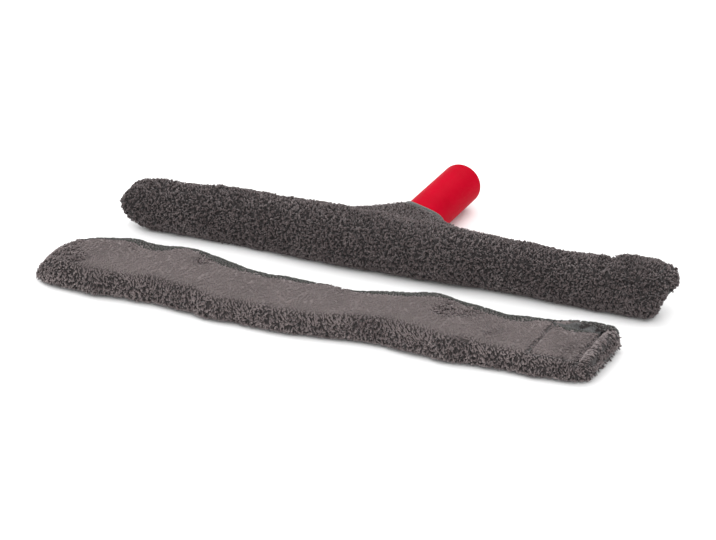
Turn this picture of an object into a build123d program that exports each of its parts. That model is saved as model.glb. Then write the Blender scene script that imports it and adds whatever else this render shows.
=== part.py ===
"""Window scrubber: a T-bar in its plush washing sleeve, lying beside a spare sleeve.

X runs along the bar, Y from the bar to the end of the handle, Z up. The origin
is on the floor, under the middle of the whole set. Millimetres.
"""
import os
from math import asin, degrees, radians, sin

from build123d import *

os.makedirs("parts", exist_ok=True)

# Bar: a drawn tube that carries the sleeve and holds water in its slots
bar_length = 400
bar_radius = 12
bar_wall = 1.5
slot_length = 18
slot_width = 6
slots_per_side = 5
slot_row_inset = 16
slot_end_room = 26

# Caps that close the ends of the bar
cap_head = 3
cap_edge_fillet = 1.6
plug_depth = 14
plug_wall = 1.8
plug_clearance = 0.2
plug_rib_count = 6
plug_rib_width = 2.2
plug_rib_relief = 0.9

# Clamp round the middle of the bar: half on the handle, half a loose shell
hub_length = 100
hub_wall = 3.4
hub_split = 0.6
hub_chamfer_share = 0.4
hub_groove_width = 4
hub_groove_depth = 1.2
hub_groove_pitch = 16
hub_groove_count = 3
bar_seat = 0.1

# Handle: a round socket for a pole, flaring through a ribbed fan to the clamp
handle_reach = 138
handle_radius = 16.5
handle_rim_share = 0.58
socket_radius = 12
socket_depth = 64
socket_lead_in = 1.5
neck_reach = 50
fan_start = 8
fan_mid_reach = 30
fan_start_inset = 4
fan_start_half_height = 13
fan_mid_half_width = 26.5
fan_mid_half_height = 14.5
fan_rib = 3
fan_web = 3.2
fan_foot = 9
fan_rim = 4.2
fan_brace_share = 0.52
fan_brace_angle = 40

# Screws that pull the two halves of the clamp together through the bar
screw_inset = 17
screw_radius = 2
screw_head_radius = 3.9
screw_head_height = 2.3
screw_point = 1.8
screw_reach = 17
screw_clearance = 0.15
screw_head_room = 0.45
screw_head_sink = 0.3
driver_slot_width = 1
driver_slot_depth = 1.1

# Cloth of both sleeves
pile_thickness = 6.2
backing_thickness = 1.2
cloth_gap = 0.3
cloth_taper = 14
sleeve_end_room = 27
seam_radius = 1.1
seam_gap = 0.15
seam_end_share = 0.6
floor_flat = 0.5
pressed_pile = 1.2

# Collar of the worn sleeve round the neck of the handle
collar_length = 10
binding_width = 5
binding_wall = 1.5
binding_edge_share = 0.4

# Flap that closes the right end of a sleeve with hook-and-loop tape
flap_length = 40
flap_pile = 3.6
flap_edge_radius = 3.4
flap_corner_radius = 7
flap_side_share = 0.7
flap_root_length = 14
flap_root_thickness = 1.5
tape_thickness = 0.9
tape_gap = 0.3
tape_margin = 7
stitch_radius = 0.8
stitch_gap = 0.4
worn_flap_inset = 14
worn_flap_half_angle = 50
worn_tape_half_angle = 32
worn_stitch_width = 16
worn_seam_share = 0.8
spare_flap_inset = 19
spare_seam_share = 0.75
spare_flap_width = 56
spare_tape_width = 34

# Spare sleeve: flat, slack and open at the handle, in front of the bar
spare_aside = 12
spare_setback = 103
spare_half_width = 36
spare_slack = 5.6
mouth_room = 4
mouth_shift = -10
mouth_gape = 5
mouth_depth = 6
mouth_binding_wall = 1.1

# How far a cutting tool runs past what it cuts
overrun = 2

quarter_turn = 90

# Sizes that follow from the ones above
bar_half = bar_length / 2
hub_radius = bar_radius + hub_wall
hub_half = hub_length / 2
slot_row_start = hub_half + slot_row_inset
slot_pitch = (bar_half - slot_end_room - slot_row_start) / (slots_per_side - 1)
screw_offset = hub_half - screw_inset
fan_start_half_width = hub_half - fan_start_inset
collar_reach = neck_reach + collar_length
mouth_length = hub_length + mouth_room
sleeve_half = bar_half + cap_head + sleeve_end_room
backing_grow = cloth_gap + backing_thickness
pile_grow = backing_grow + cloth_gap
cloth_grow = pile_grow + pile_thickness
worn_radius = bar_radius + cloth_grow
bar_height = max(handle_radius, hub_radius) + pile_grow + pressed_pile
under_half_height = bar_height + floor_flat
cloth_half = sleeve_half - 2 * seam_radius - seam_gap
spare_layers = 2 * cloth_grow - 2 * cloth_gap
worn_hinge_reach = sleeve_half - worn_flap_inset
spare_hinge_reach = sleeve_half - spare_flap_inset

# The worn sleeve at stations along the bar, as shares of its half length. The next two are its
# height at the top and its depth, as shares of the plain round sleeve, and the last is how much
# of the clamp's extra radius pushes it out.
worn_shares = [
    (-1.000, 0.13, 0.80, 0.00),
    (-0.990, 0.36, 0.86, 0.00),
    (-0.968, 0.64, 0.93, 0.00),
    (-0.930, 0.90, 0.99, 0.00),
    (-0.880, 1.00, 1.00, 0.00),
    (-0.800, 1.00, 1.00, 0.00),
    (-0.700, 1.00, 1.00, 0.02),
    (-0.570, 1.00, 1.00, 0.15),
    (-0.430, 1.00, 1.00, 0.45),
    (-0.300, 1.00, 1.00, 0.90),
    (-0.180, 1.00, 1.00, 1.15),
    (0.000, 1.00, 1.00, 1.20),
    (0.160, 1.00, 1.00, 1.10),
    (0.250, 1.00, 1.00, 0.80),
    (0.350, 1.00, 1.00, 0.20),
    (0.450, 1.00, 1.00, 0.00),
    (0.560, 1.00, 1.00, 0.00),
    (0.670, 1.00, 1.00, 0.00),
    (0.770, 1.00, 1.00, 0.00),
    (0.850, 1.00, 1.00, 0.00),
    (0.910, 1.00, 1.00, 0.00),
    (0.942, 0.99, 1.00, 0.00),
    (0.965, 0.94, 0.99, 0.00),
    (0.982, 0.80, 0.95, 0.00),
    (0.993, 0.52, 0.90, 0.00),
    (1.000, 0.14, 0.82, 0.00),
]

# The spare sleeve at stations along its half length: the sway of its middle line and its half
# width, as shares of the full half width, and its height over the bare layers, as a share of
# the slack. It bulges at the two ends of the handle opening and draws in between them.
spare_shares = [
    (-1.000, -0.36, 0.34, -1.30),
    (-0.970, -0.27, 0.57, -0.25),
    (-0.925, -0.15, 0.79, 0.35),
    (-0.860, -0.05, 0.94, 0.80),
    (-0.770, 0.01, 1.00, 1.00),
    (-0.640, 0.04, 0.99, 1.05),
    (-0.520, 0.03, 0.99, 1.55),
    (-0.420, -0.04, 0.98, 1.20),
    (-0.300, -0.16, 0.96, 0.80),
    (-0.150, -0.21, 0.91, 0.55),
    (0.000, -0.19, 0.88, 0.46),
    (0.140, -0.10, 0.84, 0.65),
    (0.250, 0.01, 0.88, 1.25),
    (0.355, 0.02, 0.96, 1.60),
    (0.470, -0.06, 0.98, 1.10),
    (0.590, -0.03, 0.95, 0.74),
    (0.660, 0.01, 0.95, 0.30),
    (0.720, 0.03, 0.96, -0.28),
    (0.780, 0.05, 0.97, -0.40),
    (0.840, 0.08, 0.99, -0.36),
    (0.900, 0.09, 0.98, -0.40),
    (0.945, 0.10, 0.97, -0.32),
    (0.972, 0.11, 0.94, 0.06),
    (0.989, 0.14, 0.88, 0.02),
    (1.000, 0.15, 0.78, -0.45),
]
spare_hollow_shares = spare_shares[2:-3]
edge_share = 0.38
shoulder_share = 0.95

# The spare reaches further left and forward and the handle further back, so the bar stands off
# the origin
spare_front_share = max(width - sway for _, sway, width, _ in spare_shares)
bar_x = spare_aside / 2
spare_x = bar_x - spare_aside
bar_y = (spare_setback + spare_front_share * spare_half_width - handle_reach) / 2
spare_y = bar_y - spare_setback

bar_centre = (bar_x, bar_y, bar_height)
bar_axis = Axis(bar_centre, (1, 0, 0))
lengthwise = Plane(origin=bar_centre, x_dir=(1, 0, 0), z_dir=(0, -1, 0))


def across_bar(station):
    """Plane square to the bar, looking along +X, with the bar's axis at its origin."""
    return Plane(origin=(bar_x + station, bar_y, bar_height), x_dir=(0, 1, 0), z_dir=(1, 0, 0))


def across_handle(reach):
    """Plane square to the handle, looking along +Y, with the handle's axis at its origin."""
    return Plane(origin=(bar_x, bar_y + reach, bar_height), x_dir=(-1, 0, 0), z_dir=(0, 1, 0))


def across_spare(station):
    """Plane square to the spare sleeve, with its middle line on the floor at its origin."""
    return Plane(origin=(spare_x + station, spare_y, 0), x_dir=(0, 1, 0), z_dir=(1, 0, 0))


def plan(height):
    """Level plane at a height over the bar's axis, with its origin over the bar's middle."""
    return Plane(origin=(bar_x, bar_y, bar_height + height), x_dir=(1, 0, 0), z_dir=(0, 0, 1))


def bar_core(grow, mode=Mode.ADD):
    """The bar with its caps and clamp as one turned form, grown by the cloth round it."""
    end = bar_half + cap_head + grow
    hub_end = hub_half + grow
    foot = hub_end + cloth_taper
    with BuildSketch(lengthwise) as profile:
        with BuildLine():
            Polyline(
                (-end, 0),
                (-end, bar_radius + grow),
                (-foot, bar_radius + grow),
                (-hub_end, hub_radius + grow),
                (hub_end, hub_radius + grow),
                (foot, bar_radius + grow),
                (end, bar_radius + grow),
                (end, 0),
                close=True,
            )
        make_face()
    revolve(profile.sketch, axis=bar_axis, mode=mode)


def neck_core(grow, end, mode=Mode.ADD):
    """The handle's fan and round neck, grown by the cloth round it, up to a reach."""
    with BuildSketch(across_handle(fan_start)) as at_clamp:
        Ellipse(fan_start_half_width + grow, fan_start_half_height + grow)
    with BuildSketch(across_handle(fan_mid_reach)) as at_fan:
        Ellipse(fan_mid_half_width + grow, fan_mid_half_height + grow)
    with BuildSketch(across_handle(neck_reach)) as at_neck:
        Circle(handle_radius + grow)
    loft(sections=[at_clamp.sketch, at_fan.sketch, at_neck.sketch], mode=mode)
    extrude(at_neck.sketch, amount=end - neck_reach, mode=mode)


def nearest_shares(rows_of_shares, station):
    """The row of a sleeve's table that is nearest to a station."""
    return min(rows_of_shares, key=lambda row: abs(row[0] * cloth_half - station))


def cut_at_floor():
    """Cut what is below the floor, where the cloth lies flat on it."""
    split(bisect_by=Plane.XY, keep=Keep.TOP)


def wrap_sketch(plane, inner, outer, half_angle, corner=0.0):
    """Sketch of a strip that wraps the top of a sleeve, between two radii, with soft corners."""
    start = quarter_turn - half_angle
    with BuildSketch(plane) as wrap:
        with BuildLine():
            over = CenterArc((0, 0), outer, start, 2 * half_angle)
            under = CenterArc((0, 0), inner, start, 2 * half_angle)
            Line(over @ 0, under @ 0)
            Line(over @ 1, under @ 1)
        make_face()
        if corner > 0:
            fillet(wrap.vertices().sort_by_distance((0, 0))[-2:], radius=corner)
    return wrap.sketch


def flap_side_sketch(plane, hinge, base, top):
    """Side view of a flap: thin at its sewn root, full over its length, round at its free edge."""
    root = hinge - stitch_radius - stitch_gap
    free = hinge - flap_length
    crown = hinge - flap_root_length
    edge = min(flap_edge_radius, top - base)
    with BuildSketch(plane) as side:
        with BuildLine():
            Line((free, top - edge), (free, 0))
            Line((free, 0), (root, 0))
            Line((root, 0), (root, base + flap_root_thickness))
            Line((root, base + flap_root_thickness), (crown, top))
            Line((crown, top), (free + edge, top))
            RadiusArc((free, top - edge), (free + edge, top), edge)
        make_face()
    return side.sketch


def seam_rope(centre, half_length):
    """Rolled and stitched edge: a round rope with soft ends, lying across a sleeve's end."""
    with BuildSketch(Plane(origin=centre, z_dir=(0, 1, 0))) as rope_section:
        Circle(seam_radius)
    extrude(rope_section.sketch, amount=half_length, both=True)
    fillet(edges().filter_by(GeomType.CIRCLE), radius=seam_radius * seam_end_share)


def finish(piece, name):
    """Name a piece and write its file."""
    piece.part.label = name
    export_step(piece.part, f"parts/{name}.step")


# Bar
slot_row_centre = slot_row_start + (slots_per_side - 1) * slot_pitch / 2
bar_front = Plane(
    origin=(bar_x, bar_y - bar_radius, bar_height), x_dir=(1, 0, 0), z_dir=(0, -1, 0)
)
with BuildPart() as cross_bar:
    with BuildSketch(across_bar(-bar_half)):
        Circle(bar_radius)
        Circle(bar_radius - bar_wall, mode=Mode.SUBTRACT)
    extrude(amount=bar_length)
    with BuildSketch(bar_front):
        for side in (-1, 1):
            with Locations((side * slot_row_centre, 0)):
                with GridLocations(slot_pitch, 0, slots_per_side, 1):
                    SlotOverall(slot_length, slot_width)
    extrude(amount=-bar_radius, mode=Mode.SUBTRACT)
    with BuildSketch(bar_front):
        with Locations((-screw_offset, 0), (screw_offset, 0)):
            Circle(screw_radius + screw_clearance)
    extrude(amount=-2 * bar_radius, mode=Mode.SUBTRACT)
finish(cross_bar, "cross_bar")

# End caps, pressed into the bar
plug_radius = bar_radius - bar_wall - plug_clearance
for side, cap_name in ((-1, "left_end_cap"), (1, "right_end_cap")):
    cap_plane = Plane(
        origin=(bar_x + side * bar_half, bar_y, bar_height), x_dir=(0, 1, 0), z_dir=(side, 0, 0)
    )
    with BuildPart() as end_cap:
        with BuildSketch(cap_plane):
            Circle(bar_radius)
        extrude(amount=cap_head)
        fillet(edges().sort_by(Axis.X)[-1 if side > 0 else 0], radius=cap_edge_fillet)
        with BuildSketch(cap_plane):
            Circle(plug_radius)
            with PolarLocations(plug_radius, plug_rib_count):
                Rectangle(plug_rib_relief * 2, plug_rib_width, mode=Mode.SUBTRACT)
            Circle(plug_radius - plug_rib_relief - plug_wall, mode=Mode.SUBTRACT)
        extrude(amount=-plug_depth)
    finish(end_cap, cap_name)

# Handle with its fan and the rear half of the clamp
with BuildPart() as handle_yoke:
    neck_core(0, handle_reach)
    fillet(
        edges().filter_by(GeomType.CIRCLE).sort_by(Axis.Y)[-1],
        radius=(handle_radius - socket_radius) * handle_rim_share,
    )
    with BuildSketch(across_bar(-hub_half)):
        Circle(hub_radius)
        with Locations((-hub_radius + hub_split / 2, 0)):
            Rectangle(2 * hub_radius, 2 * hub_radius, mode=Mode.SUBTRACT)
    extrude(amount=hub_length)
    # Pockets above and below leave a web, a rim, a spine and two braces
    pocket_near = hub_radius + fan_rib
    pocket_far = neck_reach - fan_rib
    for level, direction in ((fan_web / 2, 1), (-fan_web / 2, -1)):
        with BuildSketch(plan(level)):
            for side in (-1, 1):
                with BuildLine():
                    Line((side * fan_rib / 2, pocket_near), (side * fan_rib / 2, pocket_far))
                    Line(
                        (side * fan_rib / 2, pocket_far),
                        (side * (handle_radius - fan_rib), pocket_far),
                    )
                    ThreePointArc(
                        (side * (handle_radius - fan_rib), pocket_far),
                        (side * (fan_mid_half_width - fan_rim), fan_mid_reach),
                        (side * (fan_start_half_width - fan_foot), pocket_near),
                    )
                    Line(
                        (side * (fan_start_half_width - fan_foot), pocket_near),
                        (side * fan_rib / 2, pocket_near),
                    )
                make_face()
            for side in (-1, 1):
                brace_middle = (
                    side * fan_start_half_width * fan_brace_share / 2,
                    (pocket_near + pocket_far) / 2,
                )
                with Locations(brace_middle):
                    Rectangle(
                        fan_rib, 2 * handle_reach, rotation=side * fan_brace_angle,
                        mode=Mode.SUBTRACT,
                    )
        extrude(amount=direction * (handle_radius + overrun), mode=Mode.SUBTRACT)
    # Room for the bar, the screws and the pole
    with BuildSketch(across_bar(-hub_half - overrun)):
        Circle(bar_radius + bar_seat)
    extrude(amount=hub_length + 2 * overrun, mode=Mode.SUBTRACT)
    with BuildSketch(across_handle(0)):
        with Locations((-screw_offset, 0), (screw_offset, 0)):
            Circle(screw_radius + screw_clearance)
    extrude(amount=screw_reach + screw_point + screw_clearance, mode=Mode.SUBTRACT)
    with BuildSketch(across_handle(handle_reach)):
        Circle(socket_radius)
    extrude(amount=-socket_depth, mode=Mode.SUBTRACT)
    with BuildSketch(across_handle(handle_reach)):
        Circle(socket_radius + socket_lead_in)
    with BuildSketch(across_handle(handle_reach - socket_lead_in)):
        Circle(socket_radius)
    loft(mode=Mode.SUBTRACT)
finish(handle_yoke, "handle_yoke")

# Front half of the clamp
clamp_front = Plane(
    origin=(bar_x, bar_y - hub_radius, bar_height), x_dir=(1, 0, 0), z_dir=(0, -1, 0)
)
with BuildPart() as hub_clamp:
    with BuildSketch(across_bar(-hub_half)):
        Circle(hub_radius)
        with Locations((hub_radius - hub_split / 2, 0)):
            Rectangle(2 * hub_radius, 2 * hub_radius, mode=Mode.SUBTRACT)
    extrude(amount=hub_length)
    chamfer(edges().filter_by(GeomType.CIRCLE), length=hub_wall * hub_chamfer_share)
    for groove in range(hub_groove_count):
        groove_at = (groove - (hub_groove_count - 1) / 2) * hub_groove_pitch
        with BuildSketch(across_bar(groove_at - hub_groove_width / 2)):
            Circle(hub_radius + overrun)
            Circle(hub_radius - hub_groove_depth, mode=Mode.SUBTRACT)
        extrude(amount=hub_groove_width, mode=Mode.SUBTRACT)
    with BuildSketch(across_bar(-hub_half - overrun)):
        Circle(bar_radius + bar_seat)
    extrude(amount=hub_length + 2 * overrun, mode=Mode.SUBTRACT)
    with Locations(clamp_front):
        with Locations((-screw_offset, 0), (screw_offset, 0)):
            CounterSinkHole(
                radius=screw_radius + screw_clearance,
                counter_sink_radius=screw_head_radius + screw_head_room,
                depth=hub_radius,
            )
finish(hub_clamp, "hub_clamp")

# Screws through the clamp and the bar into the fan
screw_plane = Plane(origin=bar_centre, x_dir=(1, 0, 0), z_dir=(0, 0, 1))
head_face = screw_head_sink - hub_radius
head_plane = clamp_front.offset(-screw_head_sink)
with BuildPart() as clamp_screws:
    for side in (-1, 1):
        screw_axis = Axis((bar_x + side * screw_offset, bar_y, bar_height), (0, 1, 0))
        with BuildSketch(screw_plane):
            with BuildLine():
                Polyline(
                    (side * screw_offset, head_face),
                    (side * (screw_offset + screw_head_radius), head_face),
                    (side * (screw_offset + screw_radius), head_face + screw_head_height),
                    (side * (screw_offset + screw_radius), screw_reach),
                    (side * screw_offset, screw_reach + screw_point),
                    close=True,
                )
            make_face()
        revolve(axis=screw_axis)
    with BuildSketch(head_plane):
        with Locations((-screw_offset, 0), (screw_offset, 0)):
            Rectangle(2 * screw_head_radius, driver_slot_width)
            Rectangle(driver_slot_width, 2 * screw_head_radius)
    extrude(amount=-driver_slot_depth, mode=Mode.SUBTRACT)
finish(clamp_screws, "clamp_screws")

# Backing cloth of the worn sleeve, close round the bar and the neck
collar_end = collar_reach - binding_width - seam_gap
with BuildPart() as worn_backing:
    bar_core(backing_grow)
    neck_core(backing_grow, collar_end)
    bar_core(cloth_gap, mode=Mode.SUBTRACT)
    neck_core(cloth_gap, collar_end + overrun, mode=Mode.SUBTRACT)
finish(worn_backing, "worn_backing")

# Plush of the worn sleeve: a long roll, drawn in at its sewn ends, with the collar behind
with BuildPart() as worn_pile:
    for station_share, height_share, depth_share, push_share in worn_shares:
        push = push_share * hub_wall
        depth = worn_radius * depth_share + push
        over_height = worn_radius * height_share + push
        under_height = under_half_height * height_share
        quarter_heights = (over_height, over_height, under_height, under_height)
        with BuildSketch(across_bar(station_share * cloth_half)):
            with BuildLine():
                for quarter, height in enumerate(quarter_heights):
                    EllipticalCenterArc(
                        (0, 0), depth, height, quarter * quarter_turn, arc_size=quarter_turn
                    )
            make_face()
    loft()
    neck_core(cloth_grow, collar_reach)
    bar_core(pile_grow, mode=Mode.SUBTRACT)
    neck_core(pile_grow, collar_reach + overrun, mode=Mode.SUBTRACT)
    cut_at_floor()
finish(worn_pile, "worn_pile")

# Bound edge of the collar
binding_radius = handle_radius + cloth_gap
with BuildPart() as collar_binding:
    with BuildSketch(across_handle(collar_reach - binding_width)):
        Circle(binding_radius + binding_wall)
        Circle(binding_radius, mode=Mode.SUBTRACT)
    extrude(amount=binding_width)
    fillet(edges().sort_by(Axis.Y)[-2:], radius=binding_wall * binding_edge_share)
finish(collar_binding, "collar_binding")

# Rolled seams across the ends of the worn sleeve
for side, seam_name in ((-1, "worn_left_seam"), (1, "worn_right_seam")):
    with BuildPart() as worn_seam:
        seam_centre = (bar_x + side * (sleeve_half - seam_radius), bar_y, bar_height)
        seam_rope(seam_centre, worn_radius * worn_seam_share)
    finish(worn_seam, seam_name)


def spare_section(row_shares, inset):
    """Section of the spare sleeve, drawn in by an inset: flat below, crowned, round edges."""
    station_share, sway_share, width_share, slack_share = row_shares
    middle = sway_share * spare_half_width
    half = width_share * spare_half_width - inset
    base = inset if inset > 0 else -floor_flat
    top = spare_layers + slack_share * spare_slack - inset
    edge = edge_share * (top - base)
    shoulder = base + shoulder_share * (top - base)
    waist = (base + shoulder) / 2
    with BuildSketch(across_spare(station_share * cloth_half)) as section:
        with BuildLine():
            Line((middle - half + edge, base), (middle + half - edge, base))
            ThreePointArc(
                (middle + half - edge, base),
                (middle + half, waist),
                (middle + half - edge, shoulder),
            )
            ThreePointArc(
                (middle + half - edge, shoulder), (middle, top), (middle - half + edge, shoulder)
            )
            ThreePointArc(
                (middle - half + edge, shoulder),
                (middle - half, waist),
                (middle - half + edge, base),
            )
        make_face()
    return section.sketch


def spare_form(rows_of_shares, inset, mode=Mode.ADD):
    """The slack form of the spare sleeve, lofted through its sections."""
    sections = [spare_section(row_shares, inset) for row_shares in rows_of_shares]
    loft(sections=sections, mode=mode)


# Handle opening of the spare sleeve, in its back edge
mouth_x = spare_x + mouth_shift
spare_mouth_shares = nearest_shares(spare_shares, mouth_shift)
mouth_height = (spare_layers + spare_mouth_shares[3] * spare_slack) / 2
mouth_back = spare_y + (spare_mouth_shares[1] + spare_mouth_shares[2]) * spare_half_width
mouth_plane = Plane(
    origin=(mouth_x, mouth_back - mouth_depth, mouth_height), x_dir=(-1, 0, 0), z_dir=(0, 1, 0)
)


def cut_mouth(start, end):
    """Cut the slit of the handle opening through the cloth's back edge."""
    with BuildSketch(mouth_plane.offset(start)) as slit:
        SlotOverall(mouth_length, mouth_gape)
    extrude(slit.sketch, amount=end - start, mode=Mode.SUBTRACT)


# Plush of the spare sleeve
with BuildPart() as spare_pile:
    spare_form(spare_shares, 0)
    spare_form(spare_hollow_shares, pile_thickness, mode=Mode.SUBTRACT)
    cut_mouth(-mouth_depth, spare_half_width)
    cut_at_floor()
finish(spare_pile, "spare_pile")

# Backing cloth of the spare sleeve
with BuildPart() as spare_backing:
    spare_form(spare_hollow_shares, pile_thickness + cloth_gap)
    spare_form(
        spare_hollow_shares, pile_thickness + cloth_gap + backing_thickness, mode=Mode.SUBTRACT
    )
    cut_mouth(-mouth_depth, spare_half_width)
finish(spare_backing, "spare_backing")

# Bound edge of the handle opening
with BuildPart() as mouth_binding:
    with BuildSketch(mouth_plane):
        SlotOverall(mouth_length - 2 * cloth_gap, mouth_gape - 2 * cloth_gap)
        SlotOverall(
            mouth_length - 2 * cloth_gap - 2 * mouth_binding_wall,
            mouth_gape - 2 * cloth_gap - 2 * mouth_binding_wall,
            mode=Mode.SUBTRACT,
        )
    extrude(amount=mouth_depth)
finish(mouth_binding, "mouth_binding")

# Rolled seams across the ends of the spare sleeve
for side, end_shares, seam_name in (
    (-1, spare_shares[0], "spare_left_seam"),
    (1, spare_shares[-1], "spare_right_seam"),
):
    with BuildPart() as spare_seam:
        seam_centre = (
            spare_x + side * (sleeve_half - seam_radius),
            spare_y + end_shares[1] * spare_half_width,
            (spare_layers + end_shares[3] * spare_slack) / 2,
        )
        seam_rope(seam_centre, end_shares[2] * spare_half_width * spare_seam_share)
    finish(spare_seam, seam_name)

# Closing flaps: each is sewn to its sleeve along a stitched root, turns on that, and lies over
# a loop tape on the sleeve with a hook tape on its own underside
spare_flap_shares = nearest_shares(spare_shares, spare_hinge_reach - flap_length / 2)
spare_seat = spare_layers + spare_flap_shares[3] * spare_slack
crown_rise = (spare_seat + floor_flat) * (1 - shoulder_share)
crown_half = spare_flap_shares[2] * spare_half_width - (spare_seat + floor_flat) * edge_share
spare_crown_radius = (crown_half**2 + crown_rise**2) / (2 * crown_rise)
spare_crown_centre = (
    spare_x,
    spare_y + spare_flap_shares[1] * spare_half_width,
    spare_seat - spare_crown_radius,
)


def across_crown(station):
    """Plane square to the spare sleeve, at the centre of its crown under the flap."""
    x, y, z = spare_crown_centre
    return Plane(origin=(x + station, y, z), x_dir=(0, 1, 0), z_dir=(1, 0, 0))


spare_lengthwise = Plane(origin=spare_crown_centre, x_dir=(1, 0, 0), z_dir=(0, -1, 0))
spare_flap_half_angle = degrees(asin(spare_flap_width / 2 / spare_crown_radius))
spare_tape_half_angle = degrees(asin(spare_tape_width / 2 / spare_crown_radius))
worn_flap_width = 2 * (worn_radius + flap_pile) * sin(radians(worn_flap_half_angle))
tape_length = flap_length - tape_margin - flap_root_length

for sleeve, across, along, seat, hinge, flap_angle, tape_angle, flap_width, stitch_width in (
    (
        "worn", across_bar, lengthwise, worn_radius, worn_hinge_reach,
        worn_flap_half_angle, worn_tape_half_angle, worn_flap_width, worn_stitch_width,
    ),
    (
        "spare", across_crown, spare_lengthwise, spare_crown_radius, spare_hinge_reach,
        spare_flap_half_angle, spare_tape_half_angle, spare_flap_width, spare_tape_width,
    ),
):
    loop_under = seat + tape_gap
    loop_over = loop_under + tape_thickness
    hook_under = loop_over + cloth_gap
    hook_over = hook_under + tape_thickness
    pocket_over = hook_over + tape_gap
    flap_under = seat + cloth_gap
    flap_over = pocket_over + flap_pile
    flap_free = hinge - flap_length
    tape_start = flap_free + tape_margin

    with BuildPart() as loop_tape:
        loop_strip = wrap_sketch(across(tape_start), loop_under, loop_over, tape_angle)
        extrude(loop_strip, amount=tape_length)
    finish(loop_tape, f"{sleeve}_loop_tape")

    with BuildPart() as hook_tape:
        hook_strip = wrap_sketch(across(tape_start), hook_under, hook_over, tape_angle)
        extrude(hook_strip, amount=tape_length)
    finish(hook_tape, f"{sleeve}_hook_tape")

    with BuildPart() as flap:
        flap_wrap = wrap_sketch(
            across(flap_free), flap_under, flap_over, flap_angle, flap_edge_radius * flap_side_share
        )
        extrude(flap_wrap, amount=flap_length)
        flap_side = flap_side_sketch(along, hinge, flap_under, flap_over)
        extrude(flap_side, amount=flap_width, both=True, mode=Mode.INTERSECT)
        with BuildSketch(Plane(origin=along.origin)) as flap_plan:
            with Locations((hinge, 0)):
                RectangleRounded(2 * flap_length, flap_width + 2 * overrun, flap_corner_radius)
        extrude(amount=2 * seat, mode=Mode.INTERSECT)
        pocket = wrap_sketch(
            across(tape_start - cloth_gap), seat - overrun, pocket_over,
            tape_angle * (1 + cloth_gap / tape_margin),
        )
        extrude(pocket, amount=tape_length + 2 * cloth_gap, mode=Mode.SUBTRACT)
    finish(flap, f"{sleeve}_flap")

    with BuildPart() as flap_stitch:
        stitch_plane = Plane(
            origin=along.from_local_coords((hinge, loop_under + stitch_radius, 0)), z_dir=(0, 1, 0)
        )
        with BuildSketch(stitch_plane):
            Circle(stitch_radius)
        extrude(amount=stitch_width / 2, both=True)
    finish(flap_stitch, f"{sleeve}_flap_stitch")
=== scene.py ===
import bpy
import numpy as np
from mathutils import Matrix


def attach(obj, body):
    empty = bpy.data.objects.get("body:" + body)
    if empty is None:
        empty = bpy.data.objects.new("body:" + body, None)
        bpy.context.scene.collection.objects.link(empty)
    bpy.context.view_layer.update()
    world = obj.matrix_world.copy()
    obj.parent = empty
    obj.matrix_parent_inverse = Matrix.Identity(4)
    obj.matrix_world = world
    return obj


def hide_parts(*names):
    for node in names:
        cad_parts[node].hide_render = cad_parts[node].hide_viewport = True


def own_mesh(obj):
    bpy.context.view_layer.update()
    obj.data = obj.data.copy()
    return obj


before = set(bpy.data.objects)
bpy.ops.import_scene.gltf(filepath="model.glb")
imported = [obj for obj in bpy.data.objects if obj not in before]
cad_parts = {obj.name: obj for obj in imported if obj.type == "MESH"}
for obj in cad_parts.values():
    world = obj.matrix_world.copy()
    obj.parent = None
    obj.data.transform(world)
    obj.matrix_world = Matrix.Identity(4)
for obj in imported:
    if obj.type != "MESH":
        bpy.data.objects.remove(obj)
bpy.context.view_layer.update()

# Worn sleeve: a tube of knitted plush, pulled over the T-bar and drawn in at both sewn ends, with
# a collar that wraps the neck of the handle. Its locks of pile curl every way, with dark gaps
# between them whose ground is painted shade, and lie flatter over the top and on the collar.
bar_middle = np.array([0.006, 0.00266, 0.0195])
roll_half_length = 0.2268
roll_radius = 0.0200
roll_under = 0.0200
clamp_swell = 0.0034
worn_pile_height = 0.0026
floor_clearance = 0.0003
flap_length = 0.040
worn_hinge = 0.216
worn_end_slant = 0.0105
worn_flap_half_angle = np.radians(50)
flap_margin, flap_side_margin, hinge_margin = 0.0025, 0.10, 0.002
flap_pressing = 0.85
gather_depth, gather_count = 0.05, 9
swelling_height, swelling_shortest, swelling_longest = 0.00025, 0.014, 0.05
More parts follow.
